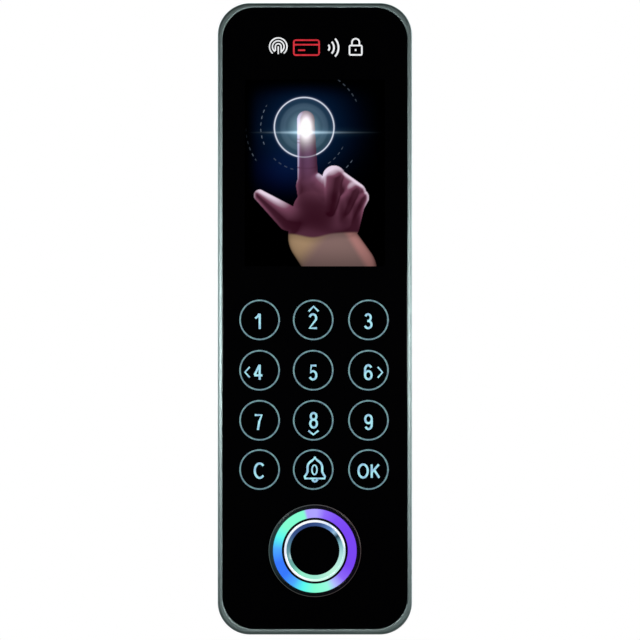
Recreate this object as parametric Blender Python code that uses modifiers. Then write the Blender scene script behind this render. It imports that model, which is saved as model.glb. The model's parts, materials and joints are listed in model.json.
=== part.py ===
"""Wall-mounted access terminal with a display, a touch keypad and a round fingerprint reader.

Every size is in millimetres, and the helpers turn it into Blender's metres.
X runs to the right seen from the front, Y runs into the wall and Z runs up. The origin is the
middle of the wall plate's rear face, so the terminal's front faces -Y.
A pair of numbers such as (-17.6, -16.2) is always (lowest, highest) along its axis.
"""

import math

import bmesh
import bpy

MM = 0.001

# The case
WIDTH, HEIGHT = 60.0, 195.0
HALF_WIDTH, HALF_HEIGHT = WIDTH / 2, HEIGHT / 2
CORNER_RADIUS = 10.0
RIM = 1.6
FRAME_WALL = 1.7
HOUSING_INSET = 0.3
HOUSING_WALL = 1.8

# Planes along Y, from the front to the wall
FRAME_FRONT = -20.0
GLASS = (-19.85, -17.95)
GLASS_GASKET = (-17.89, -17.66)
WEB = (-17.6, -16.2)
FRAME_BACK = -9.8
SEAL = (-9.7, -9.3)
HOUSING_FRONT = -9.2
BACK_WALL = (-3.2, -1.5)
HOUSING_BACK = -0.2
PLATE = (-1.2, 0.0)
BOARD = (-9.4, -7.8)
BOARD_FRONT_PARTS = -9.5
BOARD_REAR_PARTS = -7.7
CUT_PAST = 1.0

# The window in the frame's web, which the display and the keypad look through
WEB_WINDOW_X = 25.8
WEB_WINDOW_Z = (-62.0, 82.0)

# Display
SCREEN_CENTRE_Z = 45.0
SCREEN_WIDTH, SCREEN_HEIGHT = 43.2, 57.6
MODULE_WIDTH = 50.0
MODULE_Z = (8.0, 77.2)

# Keypad
KEY_PITCH_X, KEY_PITCH_Z = 16.85, 15.45
KEYPAD_OFFSET_X = -0.35
TOP_KEY_ROW_Z = -0.35
KEYPAD_X = 24.0
KEYPAD_Z = (-54.5, 6.8)

# Fingerprint reader, turned about an axis along Y
READER_Z = -71.6
READER_FLANGE_RADIUS = 14.25
READER_BARREL_RADIUS = 12.5
READER_BORE_RADIUS = 11.45
READER_CLEARANCE = 0.2
READER_WEB_RADIUS = 17.0

# Main board, its posts and the four case screws
BOARD_X = 24.0
BOARD_Z = (-55.5, 80.0)
BOARD_HOLES = [(x, z) for z in (76.0, -51.0) for x in (-20.5, 20.5)]
CASE_SCREWS = [(x, z) for z in (88.0, -88.0) for x in (-22.0, 22.0)]

# Wiring bay, tamper switch and reset button in the back wall
WIRING_BAY_X = 13.0
WIRING_BAY_Z = (-44.0, -12.0)
HEADER_ROWS = {"power_header": -22.0, "bus_header": -31.0, "lock_header": -40.0}
TAMPER_AT = (0.0, -49.0)
RESET_AT = (-15.0, 30.0)

# Wall plate and its four hooks
PLATE_X = 25.0
PLATE_Z = (-84.0, 88.0)
HOOKS = [(x, z) for z in (60.0, -60.0) for x in (-19.5, 19.5)]
HOOK_WIDTH = 6.0
LOCK_ARM_X = 7.0
LOCK_FLANGE_Z = (-96.0, -94.6)
LOCK_SCREW_Y = -5.0
LIFT = 6.0
GANG_BOX_PITCH = 60.3

ROUND_STEPS = 32
SMALL_ROUND_STEPS = 12
CORNER_STEPS = 6
SMALL_CORNER_STEPS = 3
MERGE_DISTANCE = 0.00001

for old in list(bpy.data.objects):
    bpy.data.objects.remove(old)
parts = bpy.data.collections.new("fingerprint_terminal")
tools = bpy.data.collections.new("cutters")
bpy.context.scene.collection.children.link(parts)
bpy.context.scene.collection.children.link(tools)


def finish(name, colour, roughness, metallic=0.0):
    material = bpy.data.materials.new(name)
    material.use_nodes = True
    shader = material.node_tree.nodes["Principled BSDF"]
    shader.inputs["Base Color"].default_value = (*colour, 1.0)
    shader.inputs["Roughness"].default_value = roughness
    shader.inputs["Metallic"].default_value = metallic
    return material


RIM_METAL = finish("satin_aluminium", (0.52, 0.56, 0.56), 0.34, 1.0)
CHROME = finish("polished_chrome", (0.82, 0.84, 0.86), 0.08, 1.0)
STEEL = finish("plated_steel", (0.62, 0.63, 0.64), 0.36, 1.0)
BRASS = finish("brass", (0.72, 0.55, 0.25), 0.3, 1.0)
GLASS_BLACK = finish("black_glass", (0.004, 0.004, 0.005), 0.04)
ABS_BLACK = finish("black_plastic", (0.02, 0.02, 0.022), 0.5)
RUBBER = finish("black_rubber", (0.015, 0.015, 0.015), 0.8)
FOAM = finish("grey_foam", (0.08, 0.08, 0.09), 0.95)
LIGHT_GUIDE = finish("frosted_light_guide", (0.7, 0.75, 0.9), 0.4)
WHITE_PLASTIC = finish("white_plastic", (0.78, 0.78, 0.76), 0.45)
DISPLAY = finish("display_glass", (0.02, 0.03, 0.06), 0.15)
CIRCUIT = finish("green_circuit_board", (0.02, 0.13, 0.06), 0.45)
FLEX = finish("amber_polyimide", (0.5, 0.25, 0.04), 0.35)
COPPER = finish("copper", (0.72, 0.33, 0.18), 0.35, 1.0)


def keep(name, mesh, location, material):
    """A piece has a material. Without one the object is a tool, which only cuts or joins."""
    obj = bpy.data.objects.new(name, mesh)
    obj.location = [MM * value for value in location]
    if material:
        mesh.materials.append(material)
        parts.objects.link(obj)
    else:
        tools.objects.link(obj)
        obj.hide_render = True
        obj.display_type = "WIRE"
    return obj


def mesh_from(bm, name):
    mesh = bpy.data.meshes.new(name)
    bm.to_mesh(mesh)
    bm.free()
    return mesh


def shade_round(obj):
    obj.data.shade_smooth()
    obj.data.set_sharp_from_angle(angle=math.radians(35))


def bevel(bm, edges, offset, steps):
    bmesh.ops.bevel(
        bm, geom=edges, offset=MM * offset, segments=steps, profile=0.5, affect="EDGES"
    )


def box(name, x, y, z, material=None, radius=0.0, front_edge=0.0, back_edge=0.0):
    """A box whose edges along Y can be rounded, and then the rims of its front and back."""
    bm = bmesh.new()
    bmesh.ops.create_cube(bm, size=MM)
    bmesh.ops.scale(bm, verts=bm.verts, vec=(x[1] - x[0], y[1] - y[0], z[1] - z[0]))
    half_depth = MM * (y[1] - y[0]) / 2

    def edges_in_plane(side):
        return [
            e
            for e in bm.edges
            if all(abs(v.co.y - side * half_depth) < MERGE_DISTANCE for v in e.verts)
        ]

    if radius:
        along_y = [e for e in bm.edges if abs(e.verts[0].co.y - e.verts[1].co.y) > half_depth]
        steps = CORNER_STEPS if radius > 3.5 else SMALL_CORNER_STEPS
        bevel(bm, along_y, radius, steps)
    if front_edge:
        bevel(bm, edges_in_plane(-1), front_edge, 2)
    if back_edge:
        bevel(bm, edges_in_plane(1), back_edge, 2)
    centre = [(low + high) / 2 for low, high in (x, y, z)]
    return keep(name, mesh_from(bm, name), centre, material)


def centred_box(name, width, y, height, z=0.0, **more):
    """A box on the middle plane X = 0, centred on z."""
    half, tall = width / 2, height / 2
    return box(name, (-half, half), y, (z - tall, z + tall), **more)


def cylinder(name, at, radius, span, material=None, axis="Y", steps=ROUND_STEPS):
    """A round bar along Y at (x, z), or along Z at (x, y)."""
    bm = bmesh.new()
    bmesh.ops.create_cone(
        bm,
        cap_ends=True,
        segments=steps,
        radius1=MM * radius,
        radius2=MM * radius,
        depth=MM * (span[1] - span[0]),
    )
    middle = sum(span) / 2
    place = (at[0], middle, at[1]) if axis == "Y" else (at[0], at[1], middle)
    obj = keep(name, mesh_from(bm, name), place, material)
    if axis == "Y":
        obj.rotation_euler.x = math.radians(90)
    shade_round(obj)
    return obj


def turned(name, at, profile, material=None, axis="Y", steps=ROUND_STEPS):
    """Turn (radius, place) points, which run along the outer side first, from front to back for
    axis Y and from top to bottom for axis Z. A profile that starts off the axis is a ring."""
    bm = bmesh.new()
    up = -MM if axis == "Y" else MM
    points = [bm.verts.new((MM * radius, 0.0, up * place)) for radius, place in profile]
    ring = profile[0][0] > 0
    following = points[1:] + points[:1] if ring else points[1:]
    for start, end in zip(points, following):
        bm.edges.new((start, end))
    place = (at[0], 0.0, at[1]) if axis == "Y" else (at[0], at[1], 0.0)
    obj = keep(name, mesh_from(bm, name), place, material)
    if axis == "Y":
        obj.rotation_euler.x = math.radians(90)
    screw = obj.modifiers.new("turn", "SCREW")
    screw.steps = screw.render_steps = steps
    screw.use_merge_vertices = True
    screw.merge_threshold = MERGE_DISTANCE
    return obj


def rounded_route(corners, radius, steps=5):
    """The (y, z) route through the corners, with each inner corner turned as an arc."""
    route = [corners[0]]
    for before, corner, after in zip(corners, corners[1:], corners[2:]):
        back = [b - c for b, c in zip(before, corner)]
        ahead = [a - c for a, c in zip(after, corner)]
        back = [value / math.hypot(*back) for value in back]
        ahead = [value / math.hypot(*ahead) for value in ahead]
        half = math.acos(back[0] * ahead[0] + back[1] * ahead[1]) / 2
        reach = radius / math.tan(half)
        bisector = [(b + a) / (2 * math.cos(half)) for b, a in zip(back, ahead)]
        centre = [c + d * radius / math.sin(half) for c, d in zip(corner, bisector)]
        first = [c + b * reach - m for c, b, m in zip(corner, back, centre)]
        last = [c + a * reach - m for c, a, m in zip(corner, ahead, centre)]
        start = math.atan2(first[1], first[0])
        sweep = math.atan2(last[1], last[0]) - start
        sweep = (sweep + math.pi) % (2 * math.pi) - math.pi
        for step in range(steps + 1):
            angle = start + sweep * step / steps
            route.append((centre[0] + radius * math.cos(angle), centre[1] + radius * math.sin(angle)))
    return route + [corners[-1]]


def ribbon(name, width, corners, x=0.0, thickness=0.3, bend=0.9):
    """A flat flexible circuit that follows (y, z) corners with round bends."""
    bm = bmesh.new()
    route = [
        bm.verts.new((-MM * width / 2, MM * y, MM * z)) for y, z in rounded_route(corners, bend)
    ]
    edges = [bm.edges.new(pair) for pair in zip(route, route[1:])]
    swept = bmesh.ops.extrude_edge_only(bm, edges=edges)["geom"]
    moved = [item for item in swept if isinstance(item, bmesh.types.BMVert)]
    bmesh.ops.translate(bm, verts=moved, vec=(MM * width, 0.0, 0.0))
    obj = keep(name, mesh_from(bm, name), (x, 0.0, 0.0), FLEX)
    solidify = obj.modifiers.new("thickness", "SOLIDIFY")
    solidify.thickness = MM * thickness
    solidify.offset = 0.0
    solidify.use_even_offset = True
    return obj


def combine(target, operation, others):
    """One Boolean takes all its tools together, from a collection of their own."""
    group = bpy.data.collections.new(f"{target.name}_{operation.lower()}")
    tools.children.link(group)
    for other in others:
        tools.objects.unlink(other)
        group.objects.link(other)
    modifier = target.modifiers.new(operation.lower(), "BOOLEAN")
    modifier.operation = operation
    modifier.operand_type = "COLLECTION"
    modifier.collection = group


def cut(target, cutters):
    combine(target, "DIFFERENCE", cutters)


def join(target, additions):
    combine(target, "UNION", additions)


def round_tools(name, places, radius, span, steps=SMALL_ROUND_STEPS):
    """The same round tool at each (x, z) place."""
    return [
        cylinder(f"{name}_{number}", at, radius, span, steps=steps)
        for number, at in enumerate(places, 1)
    ]


def web_opening(name, y, grow=0.0):
    """Two tools for the opening in the frame's web: the window, and the hole round the reader."""
    window = box(
        f"{name}_window",
        (-WEB_WINDOW_X - grow, WEB_WINDOW_X + grow),
        y,
        (WEB_WINDOW_Z[0] - grow, WEB_WINDOW_Z[1] + grow),
        radius=4.0,
    )
    hole = cylinder(f"{name}_reader_hole", (0.0, READER_Z), READER_WEB_RADIUS + grow, y)
    return window, hole


def build_frame():
    """The metal front frame: a rim round the glass, a web that carries it, and four bosses."""
    frame = centred_box(
        "bezel_frame",
        WIDTH,
        (FRAME_FRONT, FRAME_BACK),
        HEIGHT,
        material=RIM_METAL,
        radius=CORNER_RADIUS,
        front_edge=0.7,
    )
    pocket = centred_box(
        "glass_pocket",
        WIDTH - 2 * RIM,
        (FRAME_FRONT - CUT_PAST, WEB[0]),
        HEIGHT - 2 * RIM,
        radius=CORNER_RADIUS,
    )
    cavity = centred_box(
        "frame_cavity",
        WIDTH - 2 * FRAME_WALL,
        (WEB[1], FRAME_BACK + CUT_PAST),
        HEIGHT - 2 * FRAME_WALL,
        radius=CORNER_RADIUS - FRAME_WALL,
    )
    cut(frame, [pocket, cavity, *web_opening("web", (WEB[0] - 0.5, WEB[1] + 0.5))])
    boss_span = (WEB[0] + 0.4, FRAME_BACK)
    thread_span = (-13.6, FRAME_BACK + CUT_PAST)
    join(frame, round_tools("frame_boss", CASE_SCREWS, 3.4, boss_span, steps=16))
    cut(frame, round_tools("frame_thread", CASE_SCREWS, 1.4, thread_span))


def build_glass():
    glass = centred_box(
        "front_glass",
        WIDTH - 2 * RIM - 0.2,
        GLASS,
        HEIGHT - 2 * RIM - 0.2,
        material=GLASS_BLACK,
        radius=CORNER_RADIUS - 0.1,
        front_edge=0.2,
    )
    hole_radius = READER_BARREL_RADIUS + READER_CLEARANCE
    past = (GLASS[0] - CUT_PAST, GLASS[1] + CUT_PAST)
    cut(glass, [cylinder("glass_reader_hole", (0.0, READER_Z), hole_radius, past, steps=48)])
    gasket = centred_box(
        "glass_gasket",
        WIDTH - 2 * RIM - 0.6,
        GLASS_GASKET,
        HEIGHT - 2 * RIM - 0.6,
        material=FOAM,
        radius=CORNER_RADIUS - 0.3,
    )
    cut(gasket, web_opening("gasket", (GLASS_GASKET[0] - 0.5, GLASS_GASKET[1] + 0.5), grow=0.2))


def build_display():
    """The TFT module behind the upper glass: foam frame, cell, backlight and its flex."""
    foam = centred_box(
        "lcd_foam_frame", 48.6, (-17.9, -17.5), 62.0, z=SCREEN_CENTRE_Z, material=FOAM, radius=1.0
    )
    window = centred_box(
        "foam_window", SCREEN_WIDTH + 1.2, (-18.5, -17.0), SCREEN_HEIGHT + 1.2, z=SCREEN_CENTRE_Z
    )
    cut(foam, [window])
    box(
        "lcd_cell",
        (1.0 - MODULE_WIDTH / 2, MODULE_WIDTH / 2 - 1.0),
        (-17.4, -16.3),
        (MODULE_Z[0] + 1.5, MODULE_Z[1] - 1.2),
        DISPLAY,
    )
    backlight = box(
        "lcd_backlight",
        (-MODULE_WIDTH / 2, MODULE_WIDTH / 2),
        (-16.2, -14.9),
        MODULE_Z,
        WHITE_PLASTIC,
        radius=1.0,
    )
    lamp_notches = [
        box(f"backlight_notch_{side}", sorted((side * 24.0, side * 26.0)), (-17.0, -14.0), (30.0, 36.0))
        for side in (-1, 1)
    ]
    cut(backlight, lamp_notches)
    under_cell = [(-16.85, 9.1), (-16.85, 7.4), (-13.6, 7.4)]
    up_to_socket = [(-13.6, 13.0), (-10.6, 17.0), (-10.6, 21.6)]
    ribbon("lcd_flex", 24.0, under_cell + up_to_socket, bend=0.6)


def build_keypad():
    """The touch keypad behind the lower glass: light spreader, board with lamps, card antenna."""
    box("key_diffuser", (-23.5, 23.5), (-17.9, -17.6), (-54.0, 6.3), LIGHT_GUIDE, radius=1.5)
    board = box("keypad_board", (-KEYPAD_X, KEYPAD_X), (-17.5, -16.5), KEYPAD_Z, CIRCUIT, radius=2.0)
    fittings = [
        box("touch_chip", (-13.0, -6.0), (-16.6, -15.8), (-28.0, -21.0)),
        box("keypad_socket", (-6.0, 6.0), (-16.6, -15.0), (-11.0, -8.0)),
    ]
    lamp, lamp_depth = 1.6, (-16.6, -15.9)
    for row in range(4):
        for column in range(3):
            x = KEYPAD_OFFSET_X + (column - 1) * KEY_PITCH_X
            z = TOP_KEY_ROW_Z - row * KEY_PITCH_Z
            name = f"key_lamp_{row}_{column}"
            fittings.append(box(name, (x - lamp, x + lamp), lamp_depth, (z - lamp / 2, z + lamp / 2)))
    join(board, fittings)
    antenna = centred_box("rf_antenna", 46.0, (-15.6, -15.1), 56.0, z=-24.0, material=COPPER, radius=4.0)
    cut(antenna, [centred_box("antenna_middle", 40.0, (-16.0, -14.6), 50.0, z=-24.0, radius=2.0)])
    ribbon("keypad_flex", 9.0, [(-15.7, -11.3), (-15.7, -13.0), (-10.5, -16.0), (-10.5, -18.6)])


def build_reader():
    """The fingerprint module: it goes through the glass from the front, and a nut holds it."""
    at = (0.0, READER_Z)
    turned(
        "reader_bezel",
        at,
        [
            (13.6, -20.85),
            (13.95, -20.8),
            (READER_FLANGE_RADIUS, -20.5),
            (READER_FLANGE_RADIUS, -19.95),
            (READER_BARREL_RADIUS, -19.95),
            (READER_BARREL_RADIUS, -13.5),
            (READER_BORE_RADIUS, -13.5),
            (READER_BORE_RADIUS, -20.25),
            (13.05, -20.25),
            (13.05, -20.85),
        ],
        ABS_BLACK,
    )
    turned(
        "reader_light_ring",
        at,
        [(12.9, -20.8), (12.9, -20.35), (11.3, -20.35), (11.3, -16.5), (10.15, -16.5), (10.15, -20.8)],
        LIGHT_GUIDE,
    )
    turned("reader_sleeve", at, [(9.98, -20.75), (9.98, -16.5), (9.58, -16.5), (9.58, -20.75)], ABS_BLACK)
    turned(
        "reader_chrome_ring",
        at,
        [
            (8.95, -20.95),
            (9.45, -20.75),
            (9.45, -16.5),
            (8.2, -16.5),
            (8.2, -18.65),
            (7.65, -18.65),
            (7.65, -20.3),
            (8.3, -20.95),
        ],
        CHROME,
    )
    turned("sensor_window", at, [(0.0, -20.2), (7.5, -20.2), (7.5, -18.8), (0.0, -18.8)], GLASS_BLACK)
    turned(
        "sensor_body",
        at,
        [(0.0, -18.7), (7.3, -18.7), (7.3, -16.4), (11.3, -16.4), (11.3, -13.2), (0.0, -13.2)],
        ABS_BLACK,
    )
    board = cylinder("sensor_board", at, 11.0, (-13.1, -12.1), CIRCUIT)
    join(board, [box("sensor_socket", (-5.0, 5.0), (-12.2, -10.7), (-66.0, -63.0))])
    barrel_hole = READER_BARREL_RADIUS + READER_CLEARANCE
    turned(
        "reader_washer",
        at,
        [(15.0, -17.85), (15.0, -17.45), (barrel_hole, -17.45), (barrel_hole, -17.85)],
        RUBBER,
    )
    nut = turned(
        "reader_nut",
        at,
        [(15.5, -17.35), (15.5, -14.6), (barrel_hole, -14.6), (barrel_hole, -17.35)],
        ABS_BLACK,
    )
    sixths = [math.radians(60 * number) for number in range(6)]
    notches = [(15.5 * math.cos(a), READER_Z + 15.5 * math.sin(a)) for a in sixths]
    cut(nut, round_tools("nut_notch", notches, 1.3, (-18.0, -14.0)))
    ribbon("sensor_flex", 8.0, [(-11.3, -62.7), (-11.3, -60.5), (-10.4, -57.0), (-10.4, -53.4)], bend=2.0)


def build_main_board():
    board = box("main_board", (-BOARD_X, BOARD_X), BOARD, BOARD_Z, CIRCUIT, radius=1.5)
    front, rear = BOARD_FRONT_PARTS, BOARD_REAR_PARTS
    into_board = BOARD[0] + 0.2
    soldered = [
        box("lcd_socket", (-13.0, 13.0), (-11.3, into_board), (22.0, 25.5)),
        box("keypad_board_socket", (-6.0, 6.0), (-11.3, into_board), (-22.0, -19.0)),
        box("sensor_board_socket", (-6.0, 6.0), (-11.3, into_board), (-53.0, -50.0)),
        box("regulator_chip", (8.0, 15.0), (-10.6, into_board), (0.0, 7.0)),
        box("bus_chip", (-16.0, -10.0), (-10.4, into_board), (-6.0, 3.0)),
        box("memory_chip", (-20.0, -12.0), (-10.4, into_board), (66.0, 72.0)),
        cylinder("smoothing_capacitor", (17.5, 14.0), 3.0, (-14.0, into_board), steps=16),
    ]
    join(board, soldered)
    cut(board, round_tools("board_hole", BOARD_HOLES, 1.2, (-11.0, -6.0)))
    for number, at in enumerate(BOARD_HOLES, 1):
        turned(
            f"board_screw_{number}",
            at,
            [(0.0, -10.9), (1.5, -10.9), (1.9, -10.5), (1.9, -9.5), (0.9, -9.5), (0.9, -5.2), (0.0, -5.2)],
            STEEL,
            steps=SMALL_ROUND_STEPS,
        )
    box("processor_shield", (-17.0, 1.0), (-11.1, front), (41.0, 59.0), STEEL, radius=1.0, front_edge=0.3)
    box("relay", (6.0, 18.0), (-14.1, front), (57.0, 67.0), WHITE_PLASTIC, radius=0.5, front_edge=0.3)
    holder = box("cell_holder", (4.8, 19.2), (-12.3, front), (32.8, 47.2), ABS_BLACK, radius=3.0)
    cut(holder, [cylinder("cell_pocket", (12.0, 40.0), 6.5, (-13.0, -9.9), steps=24)])
    cylinder("coin_cell", (12.0, 40.0), 6.25, (-12.0, -10.0), STEEL, steps=24)
    for name, z in HEADER_ROWS.items():
        build_header(name, z)
    buzzer = cylinder("buzzer", (15.0, 44.0), 4.5, (rear, -3.6), ABS_BLACK, steps=24)
    cut(buzzer, round_tools("buzzer_port", [(15.0, 44.0)], 1.0, (-4.6, -3.0)))
    box("tamper_switch_body", (-3.0, 3.0), (rear, -7.0), (-52.0, -46.0), ABS_BLACK)
    x, z = RESET_AT
    box("reset_switch_body", (x - 3.0, x + 3.0), (rear, -6.7), (z - 3.0, z + 3.0), STEEL)


def build_header(name, z):
    """A six-way wire header that faces the wiring bay, open at the back."""
    header = box(name, (-9.0, 9.0), (BOARD_REAR_PARTS, -3.5), (z - 2.9, z + 2.9), WHITE_PLASTIC)
    cut(header, [box(f"{name}_socket", (-8.2, 8.2), (-6.6, -3.0), (z - 2.1, z + 2.1))])
    pins = []
    for pin in range(6):
        x = -6.25 + 2.5 * pin
        pins.append(box(f"{name}_pin_{pin}", (x - 0.3, x + 0.3), (-6.8, -4.2), (z - 0.3, z + 0.3)))
    join(header, pins)


def build_housing():
    """The plastic rear shell, open to the front, with a recess behind that the plate fits in."""
    width, height = WIDTH - 2 * HOUSING_INSET, HEIGHT - 2 * HOUSING_INSET
    radius = CORNER_RADIUS - HOUSING_INSET
    housing = centred_box(
        "rear_housing",
        width,
        (HOUSING_FRONT, HOUSING_BACK),
        height,
        material=ABS_BLACK,
        radius=radius,
        back_edge=1.0,
    )
    inside = centred_box(
        "housing_inside",
        width - 2 * HOUSING_WALL,
        (HOUSING_FRONT - CUT_PAST, BACK_WALL[0]),
        height - 2 * HOUSING_WALL,
        radius=radius - HOUSING_WALL,
    )
    recess = box(
        "plate_recess", (-26.4, 26.4), (BACK_WALL[1], CUT_PAST), (-92.5, 91.5), radius=5.0
    )
    through_wall = (BACK_WALL[0] - 0.5, BACK_WALL[1] + 0.5)
    wiring_bay = box("wiring_bay", (-WIRING_BAY_X, WIRING_BAY_X), through_wall, WIRING_BAY_Z, radius=1.5)
    guides = [
        cylinder("tamper_guide", TAMPER_AT, 1.8, through_wall, steps=16),
        cylinder("reset_guide", RESET_AT, 1.6, through_wall, steps=16),
    ]
    half_slot = HOOK_WIDTH / 2 + 0.5
    hook_slots = [
        box(f"hook_slot_{number}", (x - half_slot, x + half_slot), through_wall, (z - LIFT - 1.6, z + 0.3))
        for number, (x, z) in enumerate(HOOKS, 1)
    ]
    cut(housing, [inside, recess, wiring_bay, *guides, *hook_slots])

    floor = -HALF_HEIGHT + HOUSING_INSET + HOUSING_WALL
    into_wall = BACK_WALL[0] + 0.5
    lock_block = box("lock_block", (-10.0, 10.0), (HOUSING_FRONT + 0.2, into_wall), (floor - 0.4, -88.5))
    posts = round_tools("board_post", BOARD_HOLES, 2.5, (BOARD_REAR_PARTS, into_wall), steps=16)
    bosses = round_tools("housing_boss", CASE_SCREWS, 3.8, (HOUSING_FRONT, into_wall), steps=16)
    join(housing, [lock_block, *posts, *bosses])

    pocket_x = LOCK_ARM_X + 1.2
    below = -HALF_HEIGHT - CUT_PAST
    lock_space = [
        box("lock_pocket", (-pocket_x, pocket_x), (-8.4, CUT_PAST), (below, -94.2)),
        box("lock_arm_channel", (0.2 - pocket_x, pocket_x - 0.2), (-1.7, CUT_PAST), (-95.0, -92.0)),
        cylinder("lock_bore", (0.0, LOCK_SCREW_Y), 2.7, (-95.0, -88.9), axis="Z", steps=24),
    ]
    sound_slots = []
    for number in range(5):
        x = 14.0 + 1.9 * number
        sound_slots.append(
            box(f"sound_slot_{number}", (x - 0.5, x + 0.5), (-7.6, -4.2), (below, floor + 0.6))
        )
    screw_holes = [
        *round_tools("post_thread", BOARD_HOLES, 1.1, (-8.5, -4.6)),
        *round_tools("screw_hole", CASE_SCREWS, 1.5, (-10.0, -4.0)),
        *round_tools("screw_counterbore", CASE_SCREWS, 2.9, (-4.6, 0.5), steps=16),
    ]
    cut(housing, [*lock_space, *sound_slots, *screw_holes])


def build_case_hardware():
    seal = centred_box(
        "housing_seal", WIDTH - 1.0, SEAL, HEIGHT - 1.0, material=RUBBER, radius=CORNER_RADIUS - 0.5
    )
    middle = centred_box(
        "seal_middle", WIDTH - 3.0, (-10.0, -9.0), HEIGHT - 3.0, radius=CORNER_RADIUS - 1.5
    )
    cut(seal, [middle])
    for number, at in enumerate(CASE_SCREWS, 1):
        screw = turned(
            f"case_screw_{number}",
            at,
            [(0.0, -13.0), (1.2, -13.0), (1.2, -4.5), (2.5, -4.5), (2.5, -3.4), (2.0, -2.9), (0.0, -2.9)],
            STEEL,
            steps=SMALL_ROUND_STEPS,
        )
        cut(screw, [cylinder(f"case_screw_socket_{number}", at, 1.1, (-3.9, -2.0), steps=6)])
    turned(
        "lock_insert",
        (0.0, LOCK_SCREW_Y),
        [(2.45, -89.1), (2.45, -94.0), (1.65, -94.0), (1.65, -89.1)],
        BRASS,
        axis="Z",
        steps=24,
    )


def build_wall_plate():
    """The steel plate that is screwed to the wall, with four lanced hooks and a locking arm."""
    plate = box("wall_plate", (-PLATE_X, PLATE_X), PLATE, PLATE_Z, STEEL, radius=4.0)
    past = (PLATE[0] - CUT_PAST, PLATE[1] + CUT_PAST)
    windows = [box("cable_window", (-14.0, 14.0), past, (-52.0, -8.0), radius=2.0)]
    for number, (x, z) in enumerate(HOOKS, 1):
        windows.append(box(f"hook_lance_{number}", (x - 3.4, x + 3.4), past, (z, z + 7.0)))
    for number, z in enumerate((12.0, 12.0 + GANG_BOX_PITCH), 1):
        windows.append(box(f"gang_box_slot_{number}", (-2.1, 2.1), past, (z - 4.0, z + 4.0), radius=2.0))
    wall_screws = [(x, z) for z in (78.0, -74.0) for x in (-18.0, 18.0)]
    cut(plate, windows + round_tools("wall_screw_hole", wall_screws, 2.1, past, steps=16))

    arm = (-LOCK_ARM_X, LOCK_ARM_X)
    folds = [
        box("lock_arm", arm, PLATE, (LOCK_FLANGE_Z[0], PLATE_Z[0] + 3.0)),
        box("lock_flange", arm, (-8.0, PLATE[1] - 0.3), LOCK_FLANGE_Z),
    ]
    for number, (x, z) in enumerate(HOOKS, 1):
        hook = (x - HOOK_WIDTH / 2, x + HOOK_WIDTH / 2)
        folds.append(box(f"hook_neck_{number}", hook, (-4.7, PLATE[0] + 0.4), (z - 1.2, z - 0.05)))
        folds.append(box(f"hook_lip_{number}", hook, (-4.7, -3.5), (z - 0.6, z + 4.0)))
    join(plate, folds)
    middle_of_flange = (0.0, LOCK_SCREW_Y)
    screw_hole = cylinder("lock_screw_hole", middle_of_flange, 1.65, (-97.0, -94.0), axis="Z", steps=20)
    cut(plate, [screw_hole])
    screw = turned(
        "lock_screw",
        middle_of_flange,
        [(0.0, -90.0), (1.45, -90.0), (1.45, -96.1), (2.7, -96.1), (2.7, -97.0), (2.2, -97.5), (0.0, -97.5)],
        STEEL,
        axis="Z",
        steps=20,
    )
    socket = cylinder("lock_screw_socket", middle_of_flange, 1.2, (-98.0, -96.7), axis="Z", steps=6)
    cut(screw, [socket])
    return plate, screw


def build_tamper_switch():
    """The plunger that the wall holds in, on a small coil spring."""
    plunger = turned(
        "tamper_plunger",
        TAMPER_AT,
        [
            (0.0, -6.8),
            (0.8, -6.8),
            (0.8, -5.6),
            (2.4, -5.6),
            (2.4, -4.8),
            (1.5, -4.8),
            (1.5, -0.6),
            (1.1, -0.2),
            (0.0, -0.2),
        ],
        WHITE_PLASTIC,
        steps=16,
    )
    turns, steps_a_turn, wire = 2.5, 14, 0.11
    y_first, y_last = -6.85 + wire, -5.7 - wire
    curve = bpy.data.curves.new("tamper_spring_path", "CURVE")
    curve.dimensions = "3D"
    curve.bevel_depth = MM * wire
    curve.bevel_resolution = 1
    curve.use_fill_caps = True
    count = int(turns * steps_a_turn) + 1
    coil = curve.splines.new("POLY")
    coil.points.add(count - 1)
    for index, point in enumerate(coil.points):
        share = index / (count - 1)
        angle = 2 * math.pi * turns * share
        y = y_first + (y_last - y_first) * share
        point.co = (MM * 1.5 * math.cos(angle), MM * y, MM * 1.5 * math.sin(angle), 1.0)
    curve.materials.append(STEEL)
    spring = bpy.data.objects.new("tamper_spring", curve)
    spring.location = (MM * TAMPER_AT[0], 0.0, MM * TAMPER_AT[1])
    parts.objects.link(spring)
    return plunger


def build_reset_button():
    return turned(
        "reset_button",
        RESET_AT,
        [(0.0, -6.1), (1.0, -6.1), (1.0, -5.4), (2.2, -5.4), (2.2, -4.6), (1.3, -4.6), (1.3, -2.0), (0.0, -2.0)],
        WHITE_PLASTIC,
        steps=SMALL_ROUND_STEPS,
    )


def body(name, location=(0.0, 0.0, 0.0), parent=None):
    """An empty that a rigid group of pieces hangs on."""
    empty = bpy.data.objects.new(name, None)
    empty.location = [MM * value for value in location]
    empty.parent = parent
    parts.objects.link(empty)
    return empty


def attach(piece, empty):
    """Parent a piece without moving it: every body's empty is only shifted, never turned."""
    shift = empty.location.copy()
    above = empty.parent
    while above:
        shift += above.location
        above = above.parent
    piece.location -= shift
    piece.parent = empty


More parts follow.
